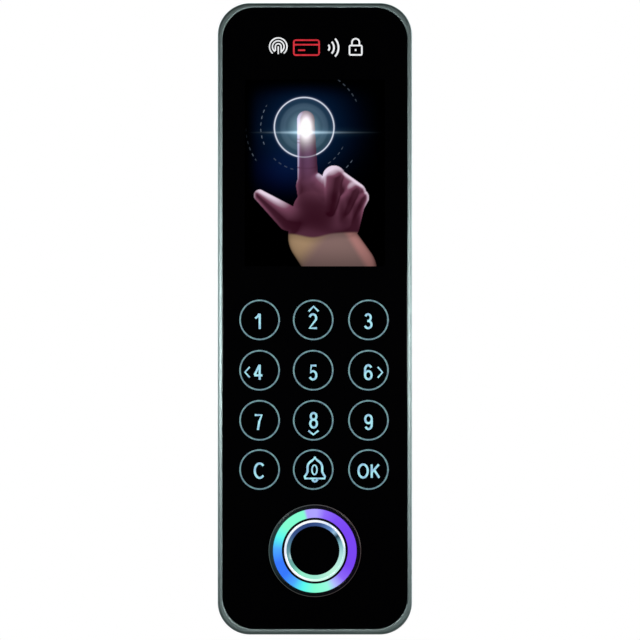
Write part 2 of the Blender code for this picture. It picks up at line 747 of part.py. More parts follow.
def main():
    build_frame()
    build_glass()
    build_display()
    build_keypad()
    build_reader()
    build_main_board()
    build_housing()
    build_case_hardware()
    fixed = build_wall_plate()
    plunger = build_tamper_switch()
    button = build_reset_button()

    wall_bracket = body("wall_bracket")
    unit = body("unit", parent=wall_bracket)
    tamper = body("tamper_slide", (TAMPER_AT[0], 0.0, TAMPER_AT[1]), parent=unit)
    reset = body("reset_slide", (RESET_AT[0], 0.0, RESET_AT[1]), parent=unit)
    for piece in [obj for obj in parts.objects if obj.type != "EMPTY"]:
        if piece in fixed:
            attach(piece, wall_bracket)
        elif piece == plunger:
            attach(piece, tamper)
        elif piece == button:
            attach(piece, reset)
        else:
            attach(piece, unit)


main()
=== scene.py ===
"""The looks of the wall-mounted fingerprint terminal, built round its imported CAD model.

Sizes are in millimetres until MM turns them into metres. X runs right, Y into the wall and Z up.
"""

import json
import math

import bmesh
import bpy
import numpy as np
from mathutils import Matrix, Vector


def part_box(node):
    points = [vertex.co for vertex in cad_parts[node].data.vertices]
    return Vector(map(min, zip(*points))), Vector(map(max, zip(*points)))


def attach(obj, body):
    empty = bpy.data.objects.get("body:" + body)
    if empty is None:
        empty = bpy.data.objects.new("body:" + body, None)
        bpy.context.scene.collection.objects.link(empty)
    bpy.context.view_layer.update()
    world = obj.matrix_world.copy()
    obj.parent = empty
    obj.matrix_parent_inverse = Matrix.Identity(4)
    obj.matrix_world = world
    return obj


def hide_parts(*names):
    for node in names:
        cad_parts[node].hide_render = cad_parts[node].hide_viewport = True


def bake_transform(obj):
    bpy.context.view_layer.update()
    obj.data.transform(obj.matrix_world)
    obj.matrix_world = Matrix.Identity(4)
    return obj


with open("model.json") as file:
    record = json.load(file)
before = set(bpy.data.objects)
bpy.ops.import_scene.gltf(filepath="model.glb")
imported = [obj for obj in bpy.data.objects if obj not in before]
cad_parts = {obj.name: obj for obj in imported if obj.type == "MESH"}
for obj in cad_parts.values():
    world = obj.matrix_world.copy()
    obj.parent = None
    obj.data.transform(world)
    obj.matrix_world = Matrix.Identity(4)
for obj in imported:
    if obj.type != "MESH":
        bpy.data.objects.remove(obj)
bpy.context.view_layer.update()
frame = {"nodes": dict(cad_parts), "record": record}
nodes = frame["nodes"]

MM = 0.001
UNIT, BRACKET = "unit", "wall_bracket"


def node_box(name):
    """A CAD node's lowest and highest corners in millimetres."""
    low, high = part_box(name)
    return Vector(low) / MM, Vector(high) / MM


case_low, case_high = node_box("bezel_frame")
glass_low, glass_high = node_box("front_glass")
housing_low, housing_high = node_box("rear_housing")
plate_low, plate_high = node_box("wall_plate")
reader_low, reader_high = node_box("reader_bezel")
board_back = node_box("main_board")[1].y

HALF_WIDTH, HALF_HEIGHT = case_high.x, case_high.z
CORNER = 10.0
RIM = 1.4
LOWER_RIM_EXTRA = 0.24
GLASS_GAP = 0.1
GLASS_FRONT = glass_low.y
READER_X = (reader_low.x + reader_high.x) / 2
READER_Z = (reader_low.z + reader_high.z) / 2
ARC_STEPS = 24
ROUND_STEPS = 128
WELD_REACH = 0.004


# ---- materials


def set_inputs(tree, node, **inputs):
    """Give each input, with _ for a space in its name, a value or the output of another node."""
    for name, value in inputs.items():
        socket = node.inputs[name.replace("_", " ")]
        if isinstance(value, bpy.types.NodeSocket):
            tree.links.new(value, socket)
        else:
            socket.default_value = value


def shader_node(tree, kind, **inputs):
    node = tree.nodes.new("ShaderNode" + kind)
    set_inputs(tree, node, **inputs)
    return node


def shader_ramp(tree, factor, stops):
    """The output of a colour ramp through (position, colour) stops."""
    node = shader_node(tree, "ValToRGB", Fac=factor)
    elements = node.color_ramp.elements
    elements[0].position, elements[0].color = stops[0][0], (*stops[0][1], 1.0)
    elements[1].position, elements[1].color = stops[-1][0], (*stops[-1][1], 1.0)
    for position, colour in stops[1:-1]:
        elements.new(position).color = (*colour, 1.0)
    return node.outputs["Color"]


class Finish:
    """A Principled material with object-space textures, built node by node."""

    def __init__(self, name, colour, roughness, metallic=0.0, **inputs):
        self.material = bpy.data.materials.new(name)
        self.material.use_nodes = True
        self.tree = self.material.node_tree
        self.colour = colour
        self.set(Base_Color=(*colour, 1.0), Roughness=roughness, Metallic=metallic, **inputs)
        self.place = self.node("TexCoord").outputs["Object"]

    def node(self, kind, **inputs):
        return shader_node(self.tree, kind, **inputs)

    def set(self, **inputs):
        set_inputs(self.tree, self.tree.nodes["Principled BSDF"], **inputs)
        return self

    def noise(self, size, detail=3.0, stretch=(1, 1, 1)):
        """A noise pattern whose features are about size millimetres."""
        place = self.node("Mapping", Vector=self.place, Scale=stretch).outputs["Vector"]
        return self.node("TexNoise", Vector=place, Scale=1.0 / (size * MM), Detail=detail).outputs["Fac"]

    def cells(self, size, output="Color"):
        return self.node("TexVoronoi", Vector=self.place, Scale=1.0 / (size * MM)).outputs[output]

    def vary_colour(self, factor, darker, lighter):
        """Let the base colour run between two shares of itself."""
        low = tuple(channel * darker for channel in self.colour)
        high = tuple(min(1.0, channel * lighter) for channel in self.colour)
        return self.set(Base_Color=shader_ramp(self.tree, factor, [(0.3, low), (0.7, high)]))

    def vary_roughness(self, factor, low, high):
        mapper = self.node("MapRange", Value=factor, From_Min=0.3, From_Max=0.7, To_Min=low, To_Max=high)
        return self.set(Roughness=mapper.outputs["Result"])

    def bump(self, factor, depth, strength=0.5):
        """Relief with a depth in millimetres."""
        relief = self.node("Bump", Height=factor, Strength=strength, Distance=depth * MM)
        return self.set(Normal=relief.outputs["Normal"])

    def glow(self, colour, strength=1.0):
        """Light of its own. Its colour and strength are values or come from other nodes."""
        return self.set(Emission_Color=colour, Emission_Strength=strength)


def srgb(*channels):
    """Screen colour values out of 255 as linear light."""
    shares = [channel / 255 for channel in channels]
    return tuple(s / 12.92 if s <= 0.04045 else ((s + 0.055) / 1.055) ** 2.4 for s in shares)


def rim_metal():
    finish = Finish("rim_metal", (0.465, 0.60, 0.59), 0.4, 1.0)
    finish.vary_roughness(finish.noise(0.5, 4), 0.36, 0.46)
    finish.vary_colour(finish.noise(6.0, 2), 0.95, 1.05)
    return finish.bump(finish.noise(0.12, 2), 0.004, 0.35).material


def black_glass():
    finish = Finish("cover_glass", (0.0012, 0.0012, 0.0016), 0.03, IOR=1.5)
    return finish.vary_roughness(finish.noise(14.0, 5), 0.02, 0.06).material


def glossy_black():
    finish = Finish("reader_plastic", (0.006, 0.006, 0.008), 0.16)
    finish.vary_roughness(finish.noise(1.5, 4), 0.12, 0.22)
    return finish.bump(finish.noise(0.2, 2), 0.002, 0.3).material


def chrome():
    finish = Finish("chrome", (0.86, 0.89, 0.91), 0.07, 1.0)
    return finish.vary_roughness(finish.noise(0.8, 3), 0.05, 0.1).material


def textured_abs():
    finish = Finish("black_plastic", (0.018, 0.018, 0.02), 0.5)
    finish.vary_colour(finish.noise(3.0, 4), 0.8, 1.25)
    finish.vary_roughness(finish.noise(0.3, 3), 0.42, 0.6)
    return finish.bump(finish.cells(0.28, "Distance"), 0.03, 0.6).material


def rubber():
    finish = Finish("rubber", (0.014, 0.014, 0.014), 0.75)
    return finish.bump(finish.noise(0.3, 3), 0.02, 0.5).vary_colour(finish.noise(2.0), 0.7, 1.4).material


def foam():
    finish = Finish("foam", (0.07, 0.07, 0.08), 0.95)
    return finish.bump(finish.cells(0.35, "Distance"), 0.08, 0.8).material


def white_nylon():
    soft = {"Subsurface_Weight": 0.08, "Subsurface_Scale": 0.6 * MM}
    finish = Finish("white_plastic", (0.74, 0.73, 0.69), 0.42, **soft)
    finish.vary_colour(finish.noise(2.5), 0.94, 1.04)
    return finish.bump(finish.noise(0.2, 2), 0.006, 0.4).material


def frosted_guide():
    finish = Finish("light_guide", (0.74, 0.78, 0.86), 0.4)
    finish.vary_colour(finish.noise(1.0), 0.92, 1.05)
    return finish.bump(finish.noise(0.15, 2), 0.008, 0.5).material


def plated_steel():
    finish = Finish("plated_steel", (0.60, 0.61, 0.62), 0.32, 1.0)
    finish.vary_roughness(finish.noise(0.6, 4), 0.24, 0.42)
    return finish.vary_colour(finish.noise(1.2), 0.88, 1.08).material


def galvanised_sheet():
    """Rolled zinc-coated sheet: soft spangle and faint rolling lines."""
    finish = Finish("plate_steel", (0.48, 0.495, 0.51), 0.5, 1.0)
    finish.vary_colour(finish.cells(2.6), 0.93, 1.05)
    finish.vary_roughness(finish.noise(0.7, 5, stretch=(1, 1, 0.06)), 0.42, 0.58)
    return finish.bump(finish.noise(0.5, 3, stretch=(1, 1, 0.05)), 0.008, 0.4).material


def brass():
    finish = Finish("brass", (0.72, 0.53, 0.24), 0.28, 1.0)
    return finish.vary_roughness(finish.noise(0.4, 3), 0.2, 0.38).material


def circuit_board():
    """Green solder mask with copper tracks that show through as a lighter green."""
    finish = Finish("circuit_board", (0.012, 0.11, 0.045), 0.32)
    upright, scale = (math.radians(90), 0.0, 0.0), (1 / MM, 1 / MM, 1 / MM)
    turned = finish.node("Mapping", Vector=finish.place, Rotation=upright, Scale=scale)
    tracks = finish.node(
        "TexBrick",
        Vector=turned.outputs["Vector"],
        Scale=1.0,
        Brick_Width=5.5,
        Row_Height=0.62,
        Mortar_Size=0.16,
        Mortar_Smooth=0.3,
        Color1=(0.010, 0.085, 0.036, 1.0),
        Color2=(0.014, 0.105, 0.045, 1.0),
        Mortar=(0.035, 0.21, 0.085, 1.0),
    )
    finish.bump(tracks.outputs["Fac"], 0.03, 0.5)
    return finish.set(Base_Color=tracks.outputs["Color"]).material


def flex_film():
    """Amber film with the copper lines of a flat cable along it."""
    finish = Finish("flex_circuit", (0.42, 0.19, 0.03), 0.3)
    lines = finish.node("TexWave", Vector=finish.place, Scale=0.28 / MM)
    stops = [(0.35, (0.3, 0.12, 0.02)), (0.6, (0.6, 0.3, 0.07))]
    return finish.set(Base_Color=shader_ramp(finish.tree, lines.outputs["Fac"], stops)).material


def copper_coil():
    finish = Finish("copper", (0.70, 0.32, 0.17), 0.35, 1.0)
    return finish.vary_roughness(finish.noise(0.5, 3), 0.25, 0.45).material


def display_cell():
    finish = Finish("display_glass", (0.01, 0.015, 0.03), 0.12)
    return finish.vary_roughness(finish.noise(3.0), 0.08, 0.16).material


SLOT_MATERIALS = {
    "rim_metal": rim_metal(),
    "cover_glass": black_glass(),
    "display_glass": display_cell(),
    "foam": foam(),
    "light_guide": frosted_guide(),
    "reader_plastic": glossy_black(),
    "chrome_ring": chrome(),
    "black_plastic": textured_abs(),
    "white_plastic": white_nylon(),
    "circuit_board": circuit_board(),
    "flex_circuit": flex_film(),
    "copper": copper_coil(),
    "rubber": rubber(),
    "plated_steel": plated_steel(),
    "plate_steel": galvanised_sheet(),
    "brass_insert": brass(),
}


# ---- mesh tools


def new_object(name, data):
    item = bpy.data.objects.new(name, data)
    bpy.context.scene.collection.objects.link(item)
    return item


def add_object(name, data, body, slot, material=None, centre=(0.0, 0.0, 0.0), stands_for=()):
    """Link a piece, place it, give it its finish and hang it on its CAD body."""
    piece = new_object(name, data)
    piece.location = [MM * value for value in centre]
    data.materials.append(material or SLOT_MATERIALS[slot])
    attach(piece, body)
    if stands_for:
        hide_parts(*stands_for)
    return piece


def plain_mesh(name, bm):
    mesh = bpy.data.meshes.new(name)
    bm.to_mesh(mesh)
    bm.free()
    return mesh


def finished_mesh(name, bm, smooth_angle=35):
    bmesh.ops.recalc_face_normals(bm, faces=bm.faces)
    mesh = plain_mesh(name, bm)
    mesh.shade_smooth()
    mesh.set_sharp_from_angle(angle=math.radians(smooth_angle))
    return mesh


def soften(points, radius, closed=True, steps=4):
    """Round every corner of a profile, by no more than its sides allow."""
    count = len(points)
    result = []
    for index, corner in enumerate(points):
        if not closed and index in (0, count - 1):
            result.append(corner)
            continue
        before, after = points[index - 1], points[(index + 1) % count]
        into = [b - c for b, c in zip(before, corner)]
        out = [a - c for a, c in zip(after, corner)]
        reach = min(radius, 0.45 * math.hypot(*into), 0.45 * math.hypot(*out))
        start = [c + i * reach / math.hypot(*into) for c, i in zip(corner, into)]
        end = [c + o * reach / math.hypot(*out) for c, o in zip(corner, out)]
        for step in range(steps + 1):
            t = step / steps
            weights = ((1 - t) ** 2, 2 * t * (1 - t), t**2)
            result.append(
                tuple(weights[0] * s + weights[1] * c + weights[2] * e for s, c, e in zip(start, corner, end))
            )
    return result


def rounded_outline(half_x, half_z, radius, centre=(0.0, 0.0), steps=ARC_STEPS):
    """Points round a rectangle with round corners, in the XZ plane."""
    points = []
    for quarter, (side_x, side_z) in enumerate([(1, 1), (-1, 1), (-1, -1), (1, -1)]):
        for step in range(steps + 1):
            angle = math.radians(90 * quarter + 90 * step / steps)
            x = side_x * (half_x - radius) + radius * math.cos(angle)
            z = side_z * (half_z - radius) + radius * math.sin(angle)
            points.append((centre[0] + x, centre[1] + z))
    return points


def circle(radius, steps=ROUND_STEPS):
    turns = [2 * math.pi * step / steps for step in range(steps)]
    return [(radius * math.cos(angle), radius * math.sin(angle)) for angle in turns]


def skin(bm, rings, closed=False):
    """Faces from each ring of points to the next. An open skin is capped at both ends."""
    for lower, upper in zip(rings, rings[1:] + rings[:1] if closed else rings[1:]):
        for index in range(len(lower)):
            after = (index + 1) % len(lower)
            bm.faces.new((lower[index], lower[after], upper[after], upper[index]))
    if not closed:
        bm.faces.new(rings[0])
        bm.faces.new(rings[-1])


def loft(outlines, closed=False):
    """Skin a list of (outline, y) rings."""
    bm = bmesh.new()
    rings = [[bm.verts.new((MM * x, MM * y, MM * z)) for x, z in outline] for outline, y in outlines]
    skin(bm, rings, closed)
    return bm


def lathe(name, profile, body, slot, material=None, at=None, closed=True, steps=ROUND_STEPS, **more):
    """Turn a (radius, y) profile about an axis along Y at (x, z), which is the piece's origin."""
    at = at or (READER_X, READER_Z)
    bm = loft([(circle(radius, steps), y) for radius, y in profile], closed)
    centre = (at[0], 0.0, at[1])
    return add_object(name, finished_mesh(name, bm), body, slot, material, centre, **more)


def about(middle, half):
    """The two ends of a span round a middle."""
    return middle - half, middle + half


def slab(name, x, y, z, radius, edge=0.0, steps=ARC_STEPS):
    """A solid plate with round corners and softened rims, for use on its own or as a tool."""
    half_x, half_z = (x[1] - x[0]) / 2, (z[1] - z[0]) / 2
    centre = ((x[0] + x[1]) / 2, (z[0] + z[1]) / 2)

    def outline(inset):
        return rounded_outline(half_x - inset, half_z - inset, max(radius - inset, 0.01), centre, steps)

    corner = [(0.0, 0.0)]
    if edge:
        corner = [(1.5 * edge, 0.0), (edge, 0.0), (0.3 * edge, 0.3 * edge), (0.0, edge)]
    rings = [(outline(inset), y[0] + depth) for inset, depth in corner]
    rings += [(outline(inset), y[1] - depth) for inset, depth in reversed(corner)]
    return finished_mesh(name, loft(rings), smooth_angle=20 if edge else 35)


def bar(name, at, radius, span, axis="Y", steps=48):
    """A round tool along Y at (x, z), or along Z at (x, y)."""
    if axis == "Y":
        outline = [(at[0] + x, at[1] + z) for x, z in circle(radius, steps)]
        return finished_mesh(name, loft([(outline, span[0]), (outline, span[1])]))
    bm = bmesh.new()
    places = [(at[0] + x, at[1] + y) for x, y in circle(radius, steps)]
    skin(bm, [[bm.verts.new((MM * x, MM * y, MM * z)) for x, y in places] for z in span])
    return finished_mesh(name, bm)


def strip(name, route, width, thickness, x=0.0, bend=1.2):
    """A flat strip of sheet that follows (y, z) corners, with round bends."""
    path = soften(route, bend * 1.4, closed=False, steps=8)
    bm = bmesh.new()
    rings = []
    for index, point in enumerate(path):
        before, after = path[max(index - 1, 0)], path[min(index + 1, len(path) - 1)]
        along = Vector((after[0] - before[0], after[1] - before[1])).normalized()
        side = Vector((-along.y, along.x)) * thickness / 2
        corners = []
        for end, face in ((-1, -1), (1, -1), (1, 1), (-1, 1)):
            y, z = point[0] + face * side.x, point[1] + face * side.y
            corners.append(bm.verts.new((MM * (x + end * width / 2), MM * y, MM * z)))
        rings.append(corners)
    skin(bm, rings)
    return finished_mesh(name, bm)


def carved(name, base, joins=(), cuts=(), edge=0.0, smooth_angle=35):
    """Join and cut meshes with exact Booleans, round the sharp edges and return the mesh."""
    target = new_object(name, base)
    helpers, groups = [], []
    for operation, meshes in (("UNION", joins), ("DIFFERENCE", cuts)):
        if not meshes:
            continue
        group = bpy.data.collections.new(f"{name}_{operation.lower()}")
        bpy.context.scene.collection.children.link(group)
        groups.append(group)
        for mesh in meshes:
            helper = bpy.data.objects.new(mesh.name, mesh)
            group.objects.link(helper)
            helpers.append(helper)
        modifier = target.modifiers.new(operation.lower(), "BOOLEAN")
        modifier.operation = operation
        modifier.operand_type = "COLLECTION"
        modifier.collection = group
    modifier = target.modifiers.new("slivers", "WELD")
    modifier.merge_threshold = MM * WELD_REACH
    if edge:
        modifier = target.modifiers.new("edges", "BEVEL")
        modifier.width = MM * edge
        modifier.segments = 2
        modifier.limit_method = "ANGLE"
        modifier.angle_limit = math.radians(40)
    bpy.context.view_layer.update()
    graph = bpy.context.evaluated_depsgraph_get()
    mesh = bpy.data.meshes.new_from_object(target.evaluated_get(graph))
    mesh.name = name
    for used in [target, *helpers]:
        bpy.data.objects.remove(used)
    for group in groups:
        bpy.data.collections.remove(group)
    mesh.materials.clear()
    mesh.shade_smooth()
    mesh.set_sharp_from_angle(angle=math.radians(smooth_angle))
    return mesh


# ---- front: rim and glass


def build_rim():
    """The metal rim: an outer chamfer, a flat land that widens at the corners, and the wall."""
    back, front = case_high.y, case_low.y

    def outline(inset):
        """The land's inner corners keep the outer radius, so the land is wider there."""
        share = min(max((inset - 0.6) / (RIM - 0.6), 0.0), 1.0)
        radius = CORNER - inset + share * RIM
        rise = share * LOWER_RIM_EXTRA / 2
        return rounded_outline(HALF_WIDTH - inset, HALF_HEIGHT - inset - rise, radius, (0.0, rise))

    chamfer = [(0.0, 0.75), (0.01, 0.42), (0.05, 0.25), (0.12, 0.15), (0.17, 0.125)]
    land = [(0.55, 0.038), (0.66, 0.008), (0.72, 0.0), (1.22, 0.008), (1.3, 0.02), (1.36, 0.06), (1.39, 0.15)]
    profile = [(0.15, back), (0.0, back - 0.15)]
    profile += [(inset, front + depth) for inset, depth in chamfer + land]
    ledge_front, ledge_back = glass_high.y + 0.35, glass_high.y + 1.75
    rings = [(outline(inset), y) for inset, y in [*profile, (RIM, ledge_front)]]
    ledge, wall = (4.2, 7.0, ledge_front, ledge_back), (1.7, CORNER - 1.7, ledge_back, back)
    for inset, radius, start, end in (ledge, wall):
        inner = rounded_outline(HALF_WIDTH - inset, HALF_HEIGHT - inset, radius)
        rings += [(inner, start), (inner, end)]
    mesh = finished_mesh("frame_rim", loft(rings, closed=True), smooth_angle=40)
    add_object("frame_rim", mesh, UNIT, "rim_metal", stands_for=["bezel_frame"])


def build_glass():
    """The front glass, a tenth of a millimetre inside the rim all round."""
    half_x, half_z = HALF_WIDTH - RIM - GLASS_GAP, HALF_HEIGHT - RIM - GLASS_GAP
    faces, ends = (glass_low.y, glass_high.y), (LOWER_RIM_EXTRA - half_z, half_z)
    panel = slab("glass_panel", (-half_x, half_x), faces, ends, CORNER - GLASS_GAP, edge=0.07)
    hole = bar("reader_hole", (READER_X, READER_Z), 12.7, (glass_low.y - 1, glass_high.y + 1), steps=96)
    mesh = carved("glass_panel", panel, cuts=[hole])
    add_object("glass_panel", mesh, UNIT, "cover_glass", stands_for=["front_glass"])


# ---- front: key marks

KEY_RING_RADIUS = 6.03
KEY_RING_LINE = 0.46
GLYPH_STROKE = 0.66
MARK_RELIEF = 0.03
KEY_COLUMNS = [-17.05, -0.5, 16.55]
KEY_ROWS = [-0.35, -15.9, -31.35, -46.55]


def arc(centre_x, centre_z, radius_x, radius_z, start, end, steps=14):
    """Points along an ellipse, from one angle to another in degrees."""
    points = []
    for step in range(steps + 1):
        angle = math.radians(start + (end - start) * step / steps)
        points.append((centre_x + radius_x * math.cos(angle), centre_z + radius_z * math.sin(angle)))
    return points


def whole(centre_x, centre_z, radius_x, radius_z):
    return arc(centre_x, centre_z, radius_x, radius_z, 90, 450, 32)


# Each glyph is its strokes in a box one unit wide and one unit high. The bell's left half is its right
# half's mirror image, and the nine is the six turned round.
BELL_HALF = [(0.5, 1.0), *arc(0.5, 0.58, 0.36, 0.33, 68, 0, 8)]
BELL_HALF += [(0.86, 0.4), (0.93, 0.27), (1.0, 0.2), (0.97, 0.11)]
SIX = [whole(0.5, 0.29, 0.5, 0.29), [(0.0, 0.3), (0.0, 0.6), *arc(0.5, 0.68, 0.5, 0.32, 170, 28)]]
GLYPHS = {
    "0": [whole(0.5, 0.5, 0.5, 0.5)],
    "1": [[(0.0, 0.7), (0.42, 0.82), (0.72, 1.03)], [(0.8, 1.04), (0.8, -0.06)]],
    "2": [[*arc(0.5, 0.72, 0.46, 0.28, 165, -25), (0.02, 0.0), (1.06, 0.0)]],
    "3": [
        [*arc(0.46, 0.76, 0.42, 0.24, 158, -75), (0.36, 0.52)],
        [(0.36, 0.52), *arc(0.47, 0.26, 0.52, 0.26, 72, -158)],
    ],
    "4": [[(0.72, -0.06), (0.72, 1.02)], [(0.7, 1.0), (0.03, 0.27)], [(0.0, 0.25), (1.08, 0.25)]],
    "5": [[(0.98, 1.0), (0.2, 1.0), (0.08, 0.5), *arc(0.46, 0.3, 0.52, 0.3, 128, -155)]],
    "6": SIX,
    "7": [[(-0.04, 1.0), (0.98, 1.0), (0.62, 0.55), (0.42, -0.06)]],
    "8": [whole(0.5, 0.77, 0.43, 0.23), whole(0.5, 0.28, 0.5, 0.28)],
    "9": [[(1 - x, 1 - z) for x, z in stroke] for stroke in SIX],
    "C": [arc(0.52, 0.5, 0.52, 0.5, 42, 318, 28)],
    "O": [whole(0.5, 0.5, 0.5, 0.5)],
    "K": [[(0.0, -0.07), (0.0, 1.07)], [(1.0, 1.07), (0.02, 0.4)], [(0.34, 0.62), (1.06, -0.07)]],
    "up": [[(0.0, 0.0), (0.5, 1.0), (1.0, 0.0)]],
    "down": [[(0.0, 1.0), (0.5, 0.0), (1.0, 1.0)]],
    "left": [[(1.0, 1.0), (0.0, 0.5), (1.0, 0.0)]],
    "right": [[(0.0, 1.0), (1.0, 0.5), (0.0, 0.0)]],
    "bell": [
        BELL_HALF + [(1 - x, z) for x, z in reversed(BELL_HALF)],
        [(0.5, 1.0), (0.5, 1.06)],
        [(0.37, 0.07), (0.43, 0.0), (0.5, -0.03), (0.57, 0.0), (0.63, 0.07)],
    ],
}

# (row, column): each glyph with its centre and size from the key's centre, in millimetres.
DIGIT = (2.0, 4.3)
KEYS = {
    (0, 0): [("1", (-0.5, -0.4), (1.75, 4.3))],
    (0, 1): [("2", (-0.1, -0.4), (2.2, 4.3)), ("up", (0.1, 3.4), (3.0, 1.5))],
    (0, 2): [("3", (-0.05, -0.4), DIGIT)],
    (1, 0): [("4", (-0.5, -0.5), (2.3, 4.3)), ("left", (-3.8, -0.6), (1.45, 3.2))],
    (1, 1): [("5", (0.0, -0.7), DIGIT)],
    (1, 2): [("6", (-0.05, -0.6), DIGIT), ("right", (3.6, -0.65), (1.45, 3.3))],
    (2, 0): [("7", (-0.35, -0.55), (2.1, 4.3))],
    (2, 1): [("8", (0.1, 0.0), (2.05, 4.5)), ("down", (0.05, -3.8), (3.1, 1.25))],
    (2, 2): [("9", (0.0, -0.55), DIGIT)],
    (3, 0): [("C", (-0.05, -0.35), (2.9, 4.45))],
    (3, 1): [("bell", (0.5, 0.0), (6.3, 7.1)), ("0", (0.38, -0.1), (1.55, 2.9))],
    (3, 2): [("O", (-1.65, -0.45), (2.85, 4.05)), ("K", (2.1, -0.5), (2.2, 3.6))],
}
LINE_WIDTHS = {"bell": 0.66, "0": 0.46, "up": 0.58, "down": 0.58, "left": 0.5, "right": 0.5}


def stroke_object(name, strokes, width, centre, material, closed=False):
    """Printed lines on the glass: round strokes pressed almost flat."""
    curve = bpy.data.curves.new(name, "CURVE")
    curve.dimensions = "3D"
    curve.bevel_depth = MM * width / 2
    curve.bevel_resolution = 2
    curve.use_fill_caps = True
    for points in strokes:
        loop = closed or (len(points) > 8 and math.dist(points[0], points[-1]) < 0.02)
        knots = points[:-1] if loop and not closed else points
        spline = curve.splines.new("POLY")
        spline.points.add(len(knots) - 1)
        for knot, (x, z) in zip(spline.points, knots):
            knot.co = (MM * x, 0.0, MM * z, 1.0)
        spline.use_cyclic_u = loop
    piece = add_object(name, curve, UNIT, "cover_glass", material, (centre[0], GLASS_FRONT, centre[1]))
    piece.scale.y = MARK_RELIEF / width


def lit_ink(name, colour, other=None):
    """Back-lit printing with a slightly uneven glow."""
    finish = Finish(name, tuple(0.1 * channel for channel in colour), 0.4)
    low = tuple(0.84 * channel for channel in (other or colour))
    high = tuple(1.1 * channel for channel in colour)
    glow = shader_ramp(finish.tree, finish.noise(1.6, 2), [(0.36, low), (0.62, high)])
    return finish.glow(glow).material


def build_keys():
    ring_ink = lit_ink("key_ring_light", srgb(104, 146, 148), srgb(96, 124, 142))
    digit_ink = lit_ink("key_digit_light", srgb(160, 226, 232), srgb(150, 196, 232))
    for row, z in enumerate(KEY_ROWS):
        for column, x in enumerate(KEY_COLUMNS):
            name = f"key_{row}_{column}"
            ring = circle(KEY_RING_RADIUS, 72)
            stroke_object(f"{name}_ring", [ring], KEY_RING_LINE, (x, z), ring_ink, closed=True)
            for number, (glyph, offset, size) in enumerate(KEYS[row, column]):
                strokes = [
                    [((px - 0.5) * size[0], (pz - 0.5) * size[1]) for px, pz in stroke]
                    for stroke in GLYPHS[glyph]
                ]
                centre = (x + offset[0], z + offset[1])
                width = LINE_WIDTHS.get(glyph, GLYPH_STROKE)
                stroke_object(f"{name}_mark_{number}", strokes, width, centre, digit_ink)


def build_emblem():
    """Four plain pictograms in a row: finger, card, radio waves and padlock."""
    white = lit_ink("emblem_white", srgb(236, 238, 240))
    red = lit_ink("emblem_red", srgb(206, 42, 54))
    z = 84.0
    finger = [arc(0.0, 0.0, radius, radius, 235 - gap, -55 + gap, 24) for radius, gap in ((2.7, 4), (1.8, 0))]
    finger += [[(-0.9, -1.3), *arc(0.0, 0.0, 0.9, 0.9, 180, 0, 12), (0.9, -1.9)], [(0.0, 0.1), (0.0, -2.3)]]
    stroke_object("emblem_finger", finger, 0.42, (-11.3, z), white)
    card_centre = (-2.6, z - 0.3)
    card = [rounded_outline(3.9, 2.3, 0.6, steps=4)]
    stroke_object("emblem_card", card, 0.5, card_centre, red, closed=True)
    stripes = [[(-3.7, 0.9), (3.7, 0.9)], [(-2.6, -0.8), (-0.4, -0.8)]]
    stroke_object("emblem_card_stripe", stripes, 0.5, card_centre, red)
    waves = [arc(-2.4, 0.0, radius, radius, -42, 42, 12) for radius in (1.3, 2.7, 4.1)]
    stroke_object("emblem_waves", waves, 0.55, (5.6, z - 0.3), white)
    lock = [rounded_outline(1.9, 1.45, 0.35, steps=4)]
    stroke_object("emblem_lock", lock, 0.5, (12.6, z - 1.1), white, closed=True)
    shackle = [(-1.15, 0.4), (-1.15, 1.3), *arc(0.0, 1.3, 1.15, 1.15, 180, 0, 12), (1.15, 0.4)]
    keyhole = [(0.0, -0.75), (0.0, -1.35)]
    stroke_object("emblem_shackle", [shackle, keyhole], 0.5, (12.6, z), white)


# ---- front: display picture


def smooth_step(value, low, high):
    t = np.clip((value - low) / (high - low), 0.0, 1.0)
    return t * t * (3 - 2 * t)


def limb(x, z, start, end, radius_start, radius_end, lift_start=0.0, lift_end=0.0, flat=1.0):
    """Height of a round limb between two points, falling steeply outside it."""
    ax, az = start
    bx, bz = end
    along = ((x - ax) * (bx - ax) + (z - az) * (bz - az)) / ((bx - ax) ** 2 + (bz - az) ** 2)
    along = np.clip(along, 0.0, 1.0)
    distance = np.hypot(x - ax - along * (bx - ax), z - az - along * (bz - az))
    radius = radius_start + (radius_end - radius_start) * along
    lift = lift_start + (lift_end - lift_start) * along
    inside = np.sqrt(np.maximum(radius**2 - distance**2, 0.0)) * flat
    return lift + np.where(distance < radius, inside, -6.0 * (distance - radius))


def blend_up(first, second, soft):
    """A smooth maximum, which melts two heights together over soft millimetres."""
    share = np.clip(0.5 + 0.5 * (first - second) / soft, 0.0, 1.0)
    return second + (first - second) * share + soft * share * (1 - share)


TOUCH = (-3.3, 59.1)
PICTURE_RELIEF = 0.008


